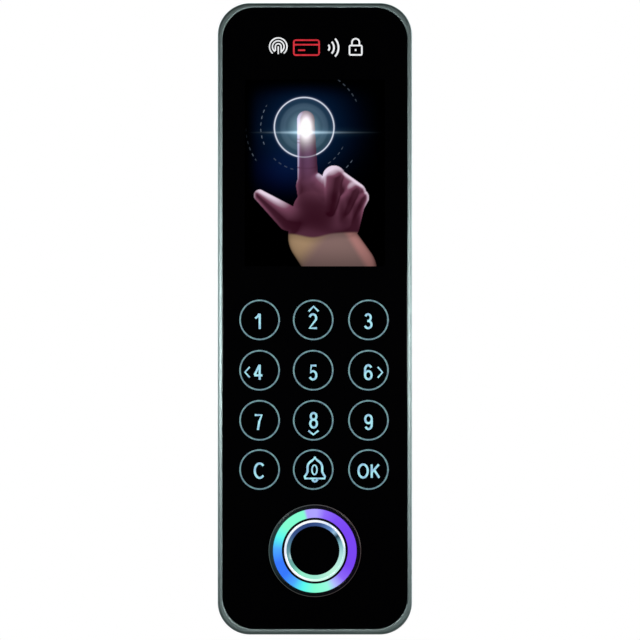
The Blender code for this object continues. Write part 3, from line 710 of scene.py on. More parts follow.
def hand_height(x, z):
    """A plain hand whose first finger points up to the touch point."""
    wrist = limb(x, z, (1.6, 25.4), (9.0, 14.5), 9.9, 10.2, -0.8, -0.6, 0.4)
    palm = limb(x, z, (-1.2, 33.8), (6.0, 31.5), 5.4, 6.6, 0.4, 0.5, 0.36)
    heel = limb(x, z, (-4.4, 29.8), (6.2, 27.8), 4.2, 6.0, 0.6, 0.6, 0.42)
    side = limb(x, z, (11.0, 36.4), (9.4, 28.8), 4.5, 4.3, 0.3, 0.5, 0.6)
    body = blend_up(blend_up(palm, heel, 2.4), side, 2.0)
    body = blend_up(body, wrist, 0.4)

    thumb = limb(x, z, (-17.1, 38.1), (-8.0, 31.0), 1.45, 3.7, 1.6, 1.0, 0.85)
    pointing = limb(x, z, (-2.8, 61.5), (-1.9, 35.0), 2.05, 3.7, 3.4, -2.4, 0.95)
    root = limb(x, z, (-1.2, 41.0), (0.4, 35.0), 4.6, 5.2, -0.6, -0.4, 0.5)
    web = limb(x, z, (0.6, 42.4), (4.0, 39.0), 2.2, 3.2, 0.4, 0.8, 0.6)
    height = blend_up(blend_up(body, thumb, 1.8), blend_up(pointing, blend_up(root, web, 1.5), 1.2), 1.8)

    back = limb(x, z, (6.4, 43.0), (12.6, 38.8), 3.0, 2.9, 2.2, 1.6, 0.8)
    height = blend_up(height, back, 1.0)
    curled = [
        ((14.2, 37.4), (10.6, 28.8), 2.2, 1.3, 1.6, 1.6),
        ((11.4, 39.8), (6.9, 27.8), 2.6, 1.4, 2.2, 1.8),
        ((5.9, 43.8), (4.7, 33.2), 2.9, 1.7, 3.2, 2.4),
    ]
    for knuckle, tip, knuckle_radius, tip_radius, lift, tip_lift in curled:
        finger = limb(x, z, knuckle, tip, knuckle_radius, tip_radius, lift, tip_lift)
        height = blend_up(height, finger, 0.3)
    return height


def blurred(grid, passes):
    """A grid averaged with its neighbours, many times over."""
    for _ in range(passes):
        padded = np.pad(grid, 1, mode="edge")
        grid = (padded[:-2, 1:-1] + padded[2:, 1:-1] + padded[1:-1, :-2] + padded[1:-1, 2:]) / 4
    return grid


def falloff(offset, width):
    """One on a line and nothing a few widths away from it."""
    return np.exp(-((offset / width) ** 2))


def tinted(mask, colour):
    return mask[..., None] * np.array(colour)


def soft_spot(x, z, centre, size):
    """A soft oval patch, one in its middle and nothing far outside it."""
    return np.exp(-(((x - centre[0]) / size[0]) ** 2) - ((z - centre[1]) / size[1]) ** 2)


def hand_colour(x, z, step):
    """(colour, cover) of the hand, lit by the touch point above it and by a rim light behind."""
    height = hand_height(x, z)
    fine = blurred(height, int((0.32 / step) ** 2 * 2))
    coarse = blurred(fine, int((1.1 / step) ** 2 * 2))
    palm = np.clip(1.3 * soft_spot(x, z, (-0.6, 33.4), (7.6, 7.0)), 0.0, 1.0)
    palm *= 1.0 - np.clip(1.4 * soft_spot(x, z, (6.2, 38.5), (3.6, 6.6)), 0.0, 1.0)
    slope_z, slope_x = np.gradient(fine * (1 - palm) + coarse * palm, step)
    length = np.sqrt(slope_x**2 + slope_z**2 + 1.0)
    facing = 1.0 / length
    normal_x, normal_z = -slope_x / length, -slope_z / length
    away = np.hypot(x - TOUCH[0], z - TOUCH[1])
    aim_x, aim_z = (TOUCH[0] + 2.0 - x) / (away + 6.0), (TOUCH[1] + 4.0 - z) / (away + 6.0)
    key = np.clip(normal_x * aim_x + normal_z * aim_z + 0.22 * facing, 0.0, 1.0)
    edge = (1.0 - facing) ** 2.0
    fingers = smooth_step(z, 27.0, 37.0)
    right = np.clip(0.2 + 0.9 * normal_x + 0.3 * normal_z, 0.0, 1.0) * smooth_step(x, 2.0, 13.0) * fingers
    left = np.clip(-normal_x, 0.0, 1.0) * (0.35 + 0.65 * fingers)
    light = 0.07 + 1.02 * key + 1.15 * edge * right + 0.9 * edge * left

    shade = soft_spot(x, z, (-1.8, 33.4), (6.6, 5.8)) * 1.5
    shade += soft_spot(x, z, (2.4, 31.4), (4.4, 4.6)) * 0.9
    for spot, size, depth in [
        ((8.2, 34.6), (1.0, 3.4), 0.9),
        ((12.2, 33.4), (0.9, 2.8), 0.9),
        ((9.2, 30.4), (1.6, 2.6), 0.7),
        ((6.0, 37.4), (1.5, 1.9), 0.6),
        ((10.2, 36.6), (1.3, 1.7), 0.65),
        ((13.6, 34.8), (1.1, 1.5), 0.6),
    ]:
        shade += soft_spot(x, z, spot, size) * depth
    light *= 0.08 + 0.92 * np.exp(-1.5 * shade)
    for level, centre, half in [(55.2, -3.0, 2.4), (54.2, -3.0, 2.4), (46.4, -2.6, 3.0)]:
        crease = falloff(z - level - 0.04 * (x - centre) ** 2, 0.24)
        light *= 1.0 - 0.35 * crease * (np.abs(x - centre) < half)
    light *= 0.68 + 0.32 * smooth_step(z, 22.0, 40.0)
    light += 0.13 * smooth_step(z, 38.0, 46.0) * falloff(x + 3.0, 3.4)
    light = np.clip(light, 0.0, 1.0)

    dark, middle, bright = (0.020, 0.0006, 0.005), (0.185, 0.062, 0.108), (0.80, 0.66, 0.79)
    tones = zip(dark, middle, bright)
    colour = np.stack([np.interp(light, (0.0, 0.42, 1.0), tone) for tone in tones], axis=-1)

    heel_line = 26.9 - 1.3 * falloff(x + 0.5, 4.5) + 0.02 * (x - 4.0)
    wrist = smooth_step(heel_line - z, 0.0, 0.9)
    grey, yellow, pink = (0.22, 0.135, 0.125), (0.36, 0.235, 0.135), (0.42, 0.195, 0.18)
    left_share = smooth_step(1.5 - x - 0.75 * (24.5 - z), -3.0, 4.0)[..., None]
    right_share = smooth_step(x + 0.6 * (z - 21.0), 11.6, 14.4)[..., None]
    tone = np.array(grey) * (1 - left_share) * (1 - right_share)
    tone += np.array(yellow) * left_share + np.array(pink) * right_share
    fade = (0.3 + 0.7 * np.clip(facing, 0, 1)) * (0.5 + 0.5 * smooth_step(z, 14.0, 24.0))
    fade *= 0.72 + 0.28 * smooth_step(heel_line - z, 0.3, 3.0)
    colour = colour * (1 - wrist[..., None]) + tone * fade[..., None] * wrist[..., None]

    cool = smooth_step(z, 38.0, 50.0) * falloff(x + 3.0, 4.5)
    colour *= 1.0 + tinted(cool, (-0.12, 0.15, 0.45))
    white = soft_spot(x, z, (TOUCH[0] + 0.5, TOUCH[1] + 0.1), (2.0, 3.4)) * 1.5
    white += soft_spot(x, z, (TOUCH[0] + 0.4, TOUCH[1] - 2.5), (2.4, 3.6)) * 0.3
    colour += tinted(white, (1.0, 1.0, 0.98))
    return colour, smooth_step(height, -0.6, 0.1)


def dashed_arc(x, z, radius, sectors, width=0.085):
    """A thin circle round the touch point, broken into short dashes within some sectors."""
    away = np.hypot(x - TOUCH[0], z - TOUCH[1])
    angle = np.degrees(np.arctan2(z - TOUCH[1], x - TOUCH[0])) % 360
    line = falloff(away - radius, width)
    dashes = smooth_step(np.sin(np.radians(angle) * radius * 3.1), -0.2, 0.4)
    mask = np.zeros_like(x)
    for start, end, strength in sectors:
        within = smooth_step(angle, start, start + 5) * (1 - smooth_step(angle, end - 5, end))
        mask += strength * within
    return line * dashes * mask


def display_colours(x, z, step):
    """The whole picture: night-blue glow, touch ring, light streak, dashes and the hand."""
    away = np.hypot(x - TOUCH[0], z - TOUCH[1])
    glow = np.exp(-((away / 12.5) ** 2.4)) * smooth_step(74.0 - z, 0.0, 7.0)
    colour = tinted(glow, (0.0018, 0.013, 0.046))
    colour += tinted(soft_spot(x, z, (-9.5, 46.0), (7.5, 5.5)), (0.0008, 0.003, 0.024))

    disc = 1.0 - smooth_step(away, 8.6, 9.2)
    band = smooth_step(away, 5.2, 6.2) * (1 - smooth_step(away, 7.0, 7.8))
    lower = smooth_step(TOUCH[1] - z, -2.0, 5.0)
    colour += tinted(disc, (0.008, 0.022, 0.034))
    colour += tinted(disc * lower, (0.012, 0.022, 0.016))
    colour += tinted(band, (0.024, 0.036, 0.046))
    colour += tinted(disc * falloff(away, 3.9), (0.22, 0.36, 0.40))

    dashes = dashed_arc(x, z, 13.4, [(148, 206, 0.36), (300, 335, 0.2), (222, 262, 0.16)])
    outer_sectors = [(178, 216, 0.45), (24, 60, 0.18), (300, 328, 0.3), (100, 118, 0.1)]
    dashes += dashed_arc(x, z, 18.0, outer_sectors)
    colour += tinted(dashes, (0.5, 0.62, 0.8))

    hand, cover = hand_colour(x, z, step)
    colour = colour * (1 - cover[..., None]) + hand * cover[..., None]

    ring_strength = 1.0 - 0.7 * cover
    colour += tinted(falloff(away - 9.2, 0.155) * ring_strength, (0.86, 0.90, 0.98))
    colour += tinted(falloff(away - 9.2, 0.45) * ring_strength, (0.03, 0.04, 0.08))

    reach = np.where(x < TOUCH[0], 6.8, 9.2)
    taper = np.exp(-(np.abs((x - TOUCH[0]) / reach) ** 1.8))
    above_streak = z - TOUCH[1] + 1.6
    colour += tinted(falloff(above_streak, 0.18 + 0.3 * taper) * taper, (0.42, 0.56, 0.64))
    colour += tinted(falloff(above_streak, 1.2) * taper, (0.02, 0.05, 0.08))
    fade = smooth_step(21.7 - np.abs(x), 0.0, 4.5) * smooth_step(74.2 - z, 0.0, 1.0)
    return np.clip(colour, 0.0, 1.0) * fade[..., None]


def build_display():
    """The lit picture: a fine flat grid on the face of the glass, coloured point by point."""
    width, height, step = 43.2, 57.6, 0.18
    low, high = node_box("lcd_foam_frame")
    centre_z = (low.z + high.z) / 2
    columns, rows = int(width / step), int(height / step)
    xs = np.linspace(-width / 2, width / 2, columns + 1)
    zs = np.linspace(centre_z - height / 2, centre_z + height / 2, rows + 1)
    x, z = np.meshgrid(xs, zs)
    colours = display_colours(x, z, step)

    bm = bmesh.new()
    bmesh.ops.create_grid(bm, x_segments=columns, y_segments=rows, size=0.5)
    mesh = plain_mesh("display_picture", bm)
    places = np.empty(len(mesh.vertices) * 3)
    mesh.vertices.foreach_get("co", places)
    places = places.reshape(-1, 3)
    column = np.rint((places[:, 0] + 0.5) * columns).astype(int)
    row = np.rint((places[:, 1] + 0.5) * rows).astype(int)
    spots = np.column_stack([xs[column], np.full(len(column), GLASS_FRONT - PICTURE_RELIEF), zs[row]]) * MM
    mesh.vertices.foreach_set("co", spots.ravel())
    mesh.update()
    attribute = mesh.color_attributes.new("picture", "FLOAT_COLOR", "POINT")
    shown = np.ones((len(column), 4))
    shown[:, :3] = colours[row, column]
    attribute.data.foreach_set("color", shown.ravel())

    finish = Finish("display_light", (0.0, 0.0, 0.0), 0.05)
    picture = finish.node("VertexColor")
    picture.layer_name = "picture"
    finish.glow(picture.outputs["Color"])
    add_object("display_picture", mesh, UNIT, "display_glass", finish.material)


# ---- front: fingerprint reader


def around_axis(finish, start, *stops):
    """A colour by the angle round the piece's own Y axis. Each stop has an hour of a clock face seen from
    the front. The ramp starts and ends at six o'clock."""
    split = finish.node("SeparateXYZ", Vector=finish.place)
    angle = finish.node("Math")
    angle.operation = "ARCTAN2"
    for socket, axis in zip(angle.inputs, "XZ"):
        finish.tree.links.new(split.outputs[axis], socket)
    share = finish.node("MapRange", Value=angle.outputs["Value"], From_Min=-math.pi, From_Max=math.pi)
    placed = [((hour / 12.0 + 0.5) % 1.0, srgb(*colour)) for hour, colour in stops]
    stops = [(0.0, srgb(*start)), *placed, (1.0, srgb(*start))]
    return shader_ramp(finish.tree, share.outputs["Result"], stops)


def light_ring_finish():
    mint, cyan, sky, blue = (128, 255, 208), (84, 250, 240), (72, 168, 252), (46, 118, 252)
    violet, lavender = (118, 62, 242), (172, 160, 255)
    left = [(6.6, cyan), (7.1, sky), (7.7, blue), (8.4, blue), (9.1, sky), (9.7, cyan), (10.3, mint)]
    top = [(11.45, mint), (11.6, lavender), (12.084, lavender), (12.5, (140, 102, 250))]
    right = [(1.1, (124, 74, 246)), (2.0, violet), (3.8, violet), (4.5, (138, 100, 246))]
    bottom = [(5.0, (176, 190, 252)), (5.35, (150, 250, 222))]
    finish = Finish("reader_light", (0.02, 0.02, 0.03), 0.45, Specular_IOR_Level=0.15)
    return finish.glow(around_axis(finish, mint, *left, *top, *right, *bottom)).material


def chrome_painted_reflection(name, stops, strength, metal):
    """Polished metal with a painted reflection of the light ring round it: a glow whose tone changes with the
    angle.
    """
    finish = Finish(name, (metal, metal, metal), 0.14, 1.0)
    finish.vary_roughness(finish.noise(0.6, 3), 0.1, 0.2)
    return finish.glow(around_axis(finish, *stops), strength).material


# The outer band's glow is a painted reflection of the light ring, mostly white.
def outer_band_painted_reflection():
    white, cool, mint = (250, 252, 254), (196, 220, 248), (216, 254, 238)
    left = [(6.8, white), (8.5, (240, 244, 255)), (10.0, (222, 236, 252)), (11.2, white), (12.12, white)]
    right = [(1.2, cool), (1.9, white), (3.0, (190, 226, 232)), (4.4, (190, 244, 224))]
    return chrome_painted_reflection("reader_chrome_outer_painted_reflection", [mint, *left, *right], 1.0, 0.3)


# The inner cone's glow is a painted reflection of the light ring, in blues and greens.
def inner_cone_painted_reflection():
    slate, teal, mint = (58, 84, 140), (110, 160, 164), (150, 244, 208)
    left = [(7.0, mint), (7.8, (104, 178, 166)), (8.6, teal), (9.4, (84, 128, 148)), (10.2, slate)]
    top = [(11.5, (46, 70, 128)), (12.36, slate), (1.2, (96, 136, 196)), (1.55, (150, 190, 220))]
    right = [(1.9, (18, 54, 74)), (2.4, (120, 176, 190)), (3.2, (176, 226, 226)), (4.6, (196, 250, 226))]
    stops = [(160, 236, 212), *left, *top, *right]
    return chrome_painted_reflection("reader_chrome_inner_painted_reflection", stops, 0.95, 0.05)


def flange_painted_highlight():
    """Black with a painted highlight of the ring light: a faint glow, greenish on the left, that changes with
    the angle.
    """
    finish = Finish("reader_flange", (0.003, 0.003, 0.004), 0.2, Specular_IOR_Level=0.2)
    finish.vary_roughness(finish.noise(1.5, 4), 0.16, 0.26)
    left = [(7.4, (4, 10, 11)), (8.4, (26, 42, 44)), (10.0, (32, 50, 50)), (11.0, (16, 24, 24))]
    right = [(12.24, (8, 6, 14)), (2.0, (8, 4, 14)), (4.0, (6, 2, 12))]
    return finish.glow(around_axis(finish, (2, 4, 4), *left, *right)).material


def flange_edge_painted_highlight():
    """The polished outer corner of the flange, with a painted highlight: a thin line of glow all round."""
    finish = Finish("reader_flange_edge", (0.02, 0.018, 0.018), 0.3)
    finish.vary_roughness(finish.noise(1.5, 4), 0.25, 0.35)
    left = [(7.4, (60, 62, 60)), (9.0, (74, 92, 92)), (11.0, (72, 80, 80))]
    right = [(12.24, (76, 74, 76)), (2.0, (78, 64, 62)), (4.0, (58, 48, 50))]
    return finish.glow(around_axis(finish, (66, 62, 60), *left, *right)).material


def sleeve_finish():
    """Dead black, so the ring light stops at the sleeve."""
    finish = Finish("reader_sleeve_black", (0.003, 0.003, 0.004), 0.7, Specular_IOR_Level=0.1)
    return finish.vary_roughness(finish.noise(0.8, 3), 0.6, 0.8).material


def build_reader():
    """The rings and the window, from the outside in, each turned from its (radius, y) profile."""
    front, back = reader_low.y, reader_high.y
    under = GLASS_FRONT - 0.08
    flange = reader_high.x - READER_X
    edge = flange - 0.18
    bezel = [(13.05, front + 0.06), (flange - 0.5, front), (edge, front + 0.06), (edge, under)]
    bezel += [(12.5, under), (12.5, back), (11.45, back), (11.45, front + 0.6), (13.05, front + 0.6)]
    corner = [(edge, front + 0.06), (flange, front + 0.32), (flange, under), (edge, under)]
    glow = [(12.9, front + 0.1), (12.9, front + 0.5), (11.3, front + 0.5), (11.3, front + 4.3)]
    glow += [(10.22, front + 4.3), (10.22, front + 0.1)]
    sleeve = [(10.16, front + 0.34), (10.16, -16.5), (9.5, -16.5), (9.5, front + 0.34)]
    band = [(9.46, front + 0.16), (9.46, -16.5), (8.8, -16.5), (8.8, front + 0.02)]
    band += [(8.92, front - 0.1), (9.26, front - 0.08)]
    cone = [(8.78, front + 0.06), (8.78, -18.6), (7.62, -18.6), (7.62, front + 0.7)]
    # The flange, its edge ring and both chrome rings glow with painted highlights and painted reflections of
    # the ring light.
    for name, profile, rounding, slot, material, node in [
        ("reader_flange", bezel, 0.12, "reader_plastic", flange_painted_highlight(), ["reader_bezel"]),
        ("reader_flange_edge", corner, 0.04, "reader_plastic", flange_edge_painted_highlight(), []),
        ("reader_glow_ring", glow, 0.1, "light_guide", light_ring_finish(), ["reader_light_ring"]),
        ("reader_black_sleeve", sleeve, 0.05, "black_plastic", sleeve_finish(), ["reader_sleeve"]),
        ("reader_bright_ring", band, 0.12, "chrome_ring", outer_band_painted_reflection(), ["reader_chrome_ring"]),
        ("reader_inner_cone", cone, 0.08, "chrome_ring", inner_cone_painted_reflection(), ["reader_chrome_ring"]),
    ]:
        lathe(name, soften(profile, rounding), UNIT, slot, material, stands_for=node)
    face = front + 0.78
    window = [(7.58, -18.8), (7.58, front + 0.9), (7.48, front + 0.8), (7.3, face), (5.0, face)]
    lathe("reader_window", window, UNIT, "cover_glass", closed=False, stands_for=["sensor_window"])


# ---- rear: housing and plate

CASE_SCREWS = [(x, z) for z in (88.0, -88.0) for x in (-22.0, 22.0)]
BOARD_HOLES = [(x, z) for z in (76.0, -51.0) for x in (-20.5, 20.5)]
HOOKS = [(x, z) for z in (60.0, -60.0) for x in (-19.5, 19.5)]
LOCK_SCREW_Y = -5.0
BACK_WALL = (-3.2, -1.5)
CASE_WALL = 1.8
SHEET = 1.2
TAMPER = (0.0, -49.0)
RESET = (-15.0, 30.0)


def bars(name, places, radius, span, steps=40):
    return [bar(f"{name}_{n}", at, radius, span, steps=steps) for n, at in enumerate(places)]


def build_housing():
    low, high = housing_low, housing_high
    radius = CORNER - 0.3

    def outline(inset):
        return rounded_outline(high.x - inset, high.z - inset, radius - inset)

    shell_profile = [(0.12, low.y), (0.0, low.y + 0.12)]
    for step in range(9):
        turn = math.radians(90 * step / 8)
        shell_profile.append((0.85 * (1 - math.cos(turn)), high.y - 1 + math.sin(turn)))
    shell = finished_mesh("housing_shell", loft([(outline(inset), y) for inset, y in shell_profile]))
    wide, tall = (low.x + CASE_WALL, high.x - CASE_WALL), (low.z + CASE_WALL, high.z - CASE_WALL)
    inside = slab("inside", wide, (low.y - 1, BACK_WALL[0]), tall, radius - CASE_WALL)
    recess = slab("recess", (-26.4, 26.4), (BACK_WALL[1], 1.0), (-92.5, 91.5), 5.0)
    through = (BACK_WALL[0] - 0.5, BACK_WALL[1] + 0.5)
    openings = [
        inside,
        recess,
        slab("bay", (-13.0, 13.0), through, (-44.0, -12.0), 1.5, steps=8),
        bar("tamper_guide", TAMPER, 1.8, through),
        bar("reset_guide", RESET, 1.6, through),
    ]
    for number, (x, z) in enumerate(HOOKS):
        openings.append(slab(f"slot_{number}", about(x, 3.5), through, (z - 7.6, z + 0.3), 0.3, steps=3))
    hollow = carved("housing_hollow", shell, cuts=openings)
    joins = [slab("lock_block", (-10.0, 10.0), (low.y + 0.2, -2.7), (low.z + 1.4, -88.5), 0.3, steps=3)]
    joins += bars("post", BOARD_HOLES, 2.5, (-7.7, -2.7)) + bars("boss", CASE_SCREWS, 3.8, (low.y, -2.7))
    cuts = [
        slab("lock_pocket", (-8.2, 8.2), (-8.4, 1.0), (-98.5, -94.2), 0.2, steps=3),
        slab("lock_channel", (-8.0, 8.0), (-1.7, 1.0), (-95.0, -92.0), 0.2, steps=3),
        bar("lock_bore", (0.0, LOCK_SCREW_Y), 2.7, (-95.0, -88.9), axis="Z"),
    ]
    for number in range(5):
        x = 14.0 + 1.9 * number
        tall = (-98.5, low.z + 2.4)
        cuts.append(slab(f"sound_{number}", about(x, 0.5), (-7.6, -4.2), tall, 0.45, steps=6))
    cuts += bars("post_thread", BOARD_HOLES, 1.1, (-8.5, -4.6))
    cuts += bars("screw_hole", CASE_SCREWS, 1.5, (-10.0, -4.0))
    cuts += bars("counterbore", CASE_SCREWS, 2.9, (-4.6, 0.5))
    mesh = carved("housing_shell", hollow, joins=joins, cuts=cuts, edge=0.14, smooth_angle=20)
    add_object("housing_shell", mesh, UNIT, "black_plastic", stands_for=["rear_housing"])


def build_plate():
    """Punched and folded sheet, with real bends on the arm and the hooks."""
    sheet = slab("sheet", (plate_low.x, plate_high.x), (-SHEET, 0.0), (-84.0, 88.0), 4.0, steps=12)
    past = (-2.2, 1.0)
    cuts = [slab("cable_window", (-14.0, 14.0), past, (-52.0, -8.0), 2.0, steps=8)]
    for number, (x, z) in enumerate(HOOKS):
        cuts.append(slab(f"lance_{number}", about(x, 3.4), past, (z, z + 7.0), 0.5, steps=4))
    for number, z in enumerate((12.0, 72.3)):
        cuts.append(slab(f"gang_slot_{number}", (-2.1, 2.1), past, about(z, 4.0), 2.0, steps=10))
    cuts += bars("wall_screw", [(x, z) for z in (78.0, -74.0) for x in (-18.0, 18.0)], 2.1, past)
    arm = strip("arm", [(-SHEET / 2, -81.0), (-SHEET / 2, -95.3), (-8.0, -95.3)], 14.0, SHEET)
    punched = carved("punched", sheet, cuts=cuts)
    hole = bar("arm_hole", (0.0, LOCK_SCREW_Y), 1.65, (-97.0, -94.0), axis="Z")
    mesh = carved("plate_sheet", punched, joins=[arm], cuts=[hole], smooth_angle=20)
    add_object("plate_sheet", mesh, BRACKET, "plate_steel", stands_for=["wall_plate"])
    for number, (x, z) in enumerate(HOOKS, 1):
        route = [(-0.95, z - 0.6), (-4.1, z - 0.6), (-4.1, z + 4.0)]
        blank = strip(f"hook_{number}", route, 6.0, SHEET, x=x, bend=0.7)
        hook = carved(f"plate_hook_{number}", blank, edge=0.12, smooth_angle=20)
        add_object(f"plate_hook_{number}", hook, BRACKET, "plate_steel", stands_for=["wall_plate"])


def screw_mesh(name, head_radius, head, shank_radius, shank_end, socket):
    """A pan-head screw along Y at the origin, head first, with a hexagon socket."""
    top, under = head
    profile = [(0.05, top), (head_radius - 0.5, top), (head_radius, top + (under - top) * 0.45)]
    profile += [(head_radius, under), (shank_radius, under), (shank_radius, shank_end), (0.05, shank_end)]
    dome = soften(profile, 0.25, closed=False)
    blank = finished_mesh(name, loft([(circle(radius, 48), y) for radius, y in dome]))
    deep = top + (under - top) * 0.75
    sides = sorted((top + (top - under) * 0.5, deep))
    return carved(name, blank, cuts=[bar(f"{name}_socket", (0.0, 0.0), socket, sides, steps=6)])


def build_fasteners():
    for number, (x, z) in enumerate(CASE_SCREWS, 1):
        mesh = screw_mesh(f"case_screw_detail_{number}", 2.5, (-2.9, -4.5), 1.2, -13.0, 1.1)
        node = [f"case_screw_{number}"]
        add_object(mesh.name, mesh, UNIT, "plated_steel", centre=(x, 0.0, z), stands_for=node)
    mesh = screw_mesh("lock_screw_detail", 2.7, (-97.5, -96.1), 1.45, -90.0, 1.2)
    screw = add_object("lock_screw_detail", mesh, BRACKET, "plated_steel", centre=(0.0, LOCK_SCREW_Y, 0.0))
    screw.rotation_euler.x = math.radians(90)
    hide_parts("lock_screw")


# ---- rear: wiring bay

PIN_PITCH = 2.5
PIN_HALF = 0.32


def build_headers():
    """Three wire headers with thin walls and tinned pins."""
    for node in ("power_header", "bus_header", "lock_header"):
        low, high = node_box(node)
        z = (low.z + high.z) / 2
        body = slab(f"{node}_block", (low.x, high.x), (low.y, high.y), (low.z, high.z), 0.3, steps=3)
        socket = slab(f"{node}_socket", (-8.2, 8.2), (-6.6, -3.0), about(z, 2.1), 0.2, steps=3)
        cuts, tall = [socket], (z + 1.5, z + 3.4)
        for side in (-5.0, 5.0):
            cuts.append(slab(f"{node}_key", about(side, 0.6), (-5.6, -3.0), tall, 0.1, steps=2))
        mesh = carved(f"{node}_shell", body, cuts=cuts, edge=0.08)
        add_object(f"{node}_shell", mesh, UNIT, "white_plastic", stands_for=[node])
        for pin in range(6):
            x = PIN_PITCH * (pin - 2.5)
            wide, tall = about(x, PIN_HALF), about(z, PIN_HALF)
            mesh = slab(f"{node}_pin_{pin}", wide, (-6.9, -4.1), tall, 0.08, 0.14, steps=2)
            add_object(f"{node}_pin_{pin}", mesh, UNIT, "plated_steel")


def build_board_details():
    """Small soldered parts on the board that show through the wiring bay."""
    resistor = Finish("chip_resistor", (0.02, 0.02, 0.022), 0.35)
    resistor.vary_colour(resistor.noise(0.4), 0.7, 1.5)
    capacitor = Finish("chip_capacitor", (0.42, 0.28, 0.16), 0.45)
    capacitor.vary_colour(capacitor.noise(0.4), 0.85, 1.1)
    rows = [(-15.4, 12), (-26.5, 10), (-35.5, 10)]
    for row, (z, count) in enumerate(rows):
        for index in range(count):
            x = -10.6 + 21.2 * index / (count - 1)
            kind = resistor.material if (index + row) % 3 else capacitor.material
            name = f"chip_{row}_{index}"
            deep = (board_back, board_back + 0.45)
            mesh = slab(name, about(x, 0.4), deep, about(z, 0.75), 0.05, 0.05, steps=2)
            add_object(name, mesh, UNIT, "circuit_board", kind)
            for end in (-1, 1):
                cap = f"{name}_end_{'upper' if end > 0 else 'lower'}"
                deep, tall = (board_back, board_back + 0.48), sorted((z + end * 0.62, z + end * 0.98))
                mesh = slab(cap, about(x, 0.43), deep, tall, 0.05, 0.05, steps=2)
                add_object(cap, mesh, UNIT, "plated_steel")


def build_small_movers():
    """The tamper plunger and the reset button, turned with soft edges."""
    plunger = [(0.02, -6.8), (0.8, -6.8), (0.8, -5.6), (2.4, -5.6), (2.4, -4.8), (1.5, -4.8)]
    plunger += [(1.5, -0.7), (1.0, -0.2), (0.02, -0.2)]
    button = [(0.02, -6.1), (1.0, -6.1), (1.0, -5.4), (2.2, -5.4), (2.2, -4.6), (1.3, -4.6)]
    button += [(1.3, -2.0), (0.02, -2.0)]
    for name, profile, body, place in [
        ("plunger_detail", plunger, "tamper_plunger", TAMPER),
        ("reset_detail", button, "reset_button", RESET),
    ]:
        turned = soften(profile, 0.2, closed=False)
        lathe(name, turned, body, "white_plastic", at=place, closed=False, steps=64, stands_for=[body])


def build_tamper_spring():
    """The fine coil behind the plunger's collar."""
    radius, wire, turns, sides = 1.5, 0.12, 3.5, 8
    back, front = -5.72, -6.86
    steps = int(turns * 28)
    bm = bmesh.new()
    rings = []
    for step in range(steps + 1):
        share = step / steps
        angle = 2 * math.pi * turns * share
        rise = min(max((share * turns - 0.6) / (turns - 1.2), 0.0), 1.0)
        y = front + wire + (back - front - 2 * wire) * rise
        ring = []
        for side in range(sides):
            turn = 2 * math.pi * side / sides
            reach = radius + wire * math.cos(turn)
            x, z = TAMPER[0] + reach * math.cos(angle), TAMPER[1] + reach * math.sin(angle)
            ring.append(bm.verts.new((MM * x, MM * (y + wire * math.sin(turn)), MM * z)))
        rings.append(ring)
    skin(bm, rings)
    mesh = finished_mesh("tamper_coil", bm)
    mesh.materials.append(SLOT_MATERIALS["plated_steel"])
    coil = new_object("tamper_coil", mesh)
    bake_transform(coil)
    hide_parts("tamper_spring")


def finish_cad_nodes():
    """Every CAD node that still shows takes the finish of its slot."""
    slots = {part["node"]: part["material_slot"] for part in frame["record"]["subparts"]}
    for name, node in nodes.items():
        node.data.materials.clear()
        node.data.materials.append(SLOT_MATERIALS[slots[name]])


# ---- studio


def area_light(name, place, target, size, power):
    data = bpy.data.lights.new(name, "AREA")
    data.shape = "RECTANGLE"
    data.size, data.size_y = size
    data.energy = power
    light = new_object(name, data)
    light.location = place
    light.rotation_euler = (Vector(target) - Vector(place)).to_track_quat("-Z", "Z").to_euler()


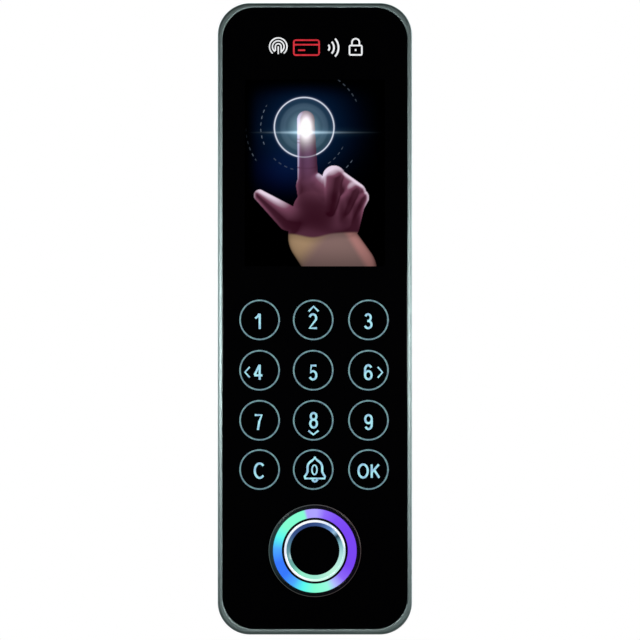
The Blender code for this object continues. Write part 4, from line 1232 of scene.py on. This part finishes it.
def build_world():
    """White to the camera. To the object it is a room that is dark in front, so the glass is black,
    lighter and greener above, and bluer below."""
    world = bpy.data.worlds.new("studio")
    bpy.context.scene.world = world
    world.use_nodes = True
    tree = world.node_tree
    tree.nodes.clear()
    below, level, above = (0.05, 0.065, 0.095), (0.20, 0.225, 0.23), (0.30, 0.35, 0.33)
    nearest, farthest = [-math.cos(math.radians(angle)) for angle in (35, 100)]

    direction = shader_node(tree, "TexCoord").outputs["Generated"]
    split = shader_node(tree, "SeparateXYZ", Vector=direction)
    height = shader_node(tree, "MapRange", Value=split.outputs["Z"], From_Min=-1.0)
    sky = shader_ramp(tree, height.outputs["Result"], [(0.0, below), (0.5, level), (1.0, above)])
    front = shader_node(tree, "MapRange", Value=split.outputs["Y"], From_Min=nearest, From_Max=farthest)
    front.interpolation_type = "SMOOTHSTEP"
    room = shader_node(tree, "Background", Color=sky, Strength=front.outputs["Result"])
    paper = shader_node(tree, "Background", Color=(1.0, 1.0, 1.0, 1.0))
    seen = shader_node(tree, "LightPath").outputs["Is Camera Ray"]
    mix = shader_node(tree, "MixShader", Fac=seen)
    tree.links.new(room.outputs["Background"], mix.inputs[1])
    tree.links.new(paper.outputs["Background"], mix.inputs[2])
    shader_node(tree, "OutputWorld", Surface=mix.outputs["Shader"])


def build_floor():
    bm = bmesh.new()
    bmesh.ops.create_circle(bm, cap_ends=True, segments=96, radius=6.0)
    floor = new_object("floor", plain_mesh("floor", bm))
    floor.location = (0.0, 0.0, -1.6)
    finish = Finish("pale_floor", (0.3, 0.3, 0.3), 0.9)
    finish.vary_colour(finish.noise(60.0), 0.98, 1.02)
    finish.glow((0.84, 0.84, 0.84, 1.0), finish.node("LightPath").outputs["Is Camera Ray"])
    floor.data.materials.append(finish.material)


def build_studio():
    build_world()
    build_floor()
    middle = (0.0, -0.02, -0.006)
    for name, place, size, power in [
        ("key_left", (-0.07, -0.2, -0.004), (0.022, 0.04), 0.085),
        ("key_right", (0.07, -0.2, -0.004), (0.022, 0.04), 0.075),
        ("side_right", (0.42, -0.16, 0.02), (0.10, 0.22), 0.5),
        ("side_left", (-0.55, 0.10, 0.05), (0.12, 0.3), 0.7),
        ("top_soft", (0.0, 0.45, 0.8), (1.0, 0.8), 3.5),
        ("back_left", (-0.5, 0.8, 0.45), (1.5, 1.3), 4.5),
        ("back_right", (0.7, 0.6, 0.2), (0.8, 1.0), 3.0),
    ]:
        area_light(name, place, middle, size, power)


def build_camera():
    """A long lens straight in front, a little to the right of and below the object's middle."""
    data = bpy.data.cameras.new("camera")
    camera = new_object("camera", data)
    distance, view_width, right, below = 1.5, 197.55 * MM, 1.59 * MM, 0.39 * MM
    camera.location = (right, case_low.y * MM - distance, -below)
    camera.rotation_euler = (math.radians(90), 0.0, 0.0)
    data.sensor_width = 36.0
    data.lens = data.sensor_width * distance / view_width
    bpy.context.scene.camera = camera


bpy.context.scene.view_settings.view_transform = "Standard"
finish_cad_nodes()
build_rim()
build_glass()
build_display()
build_keys()
build_emblem()
build_reader()
build_housing()
build_plate()
build_fasteners()
build_headers()
build_board_details()
build_small_movers()
build_tamper_spring()
build_studio()
build_camera()
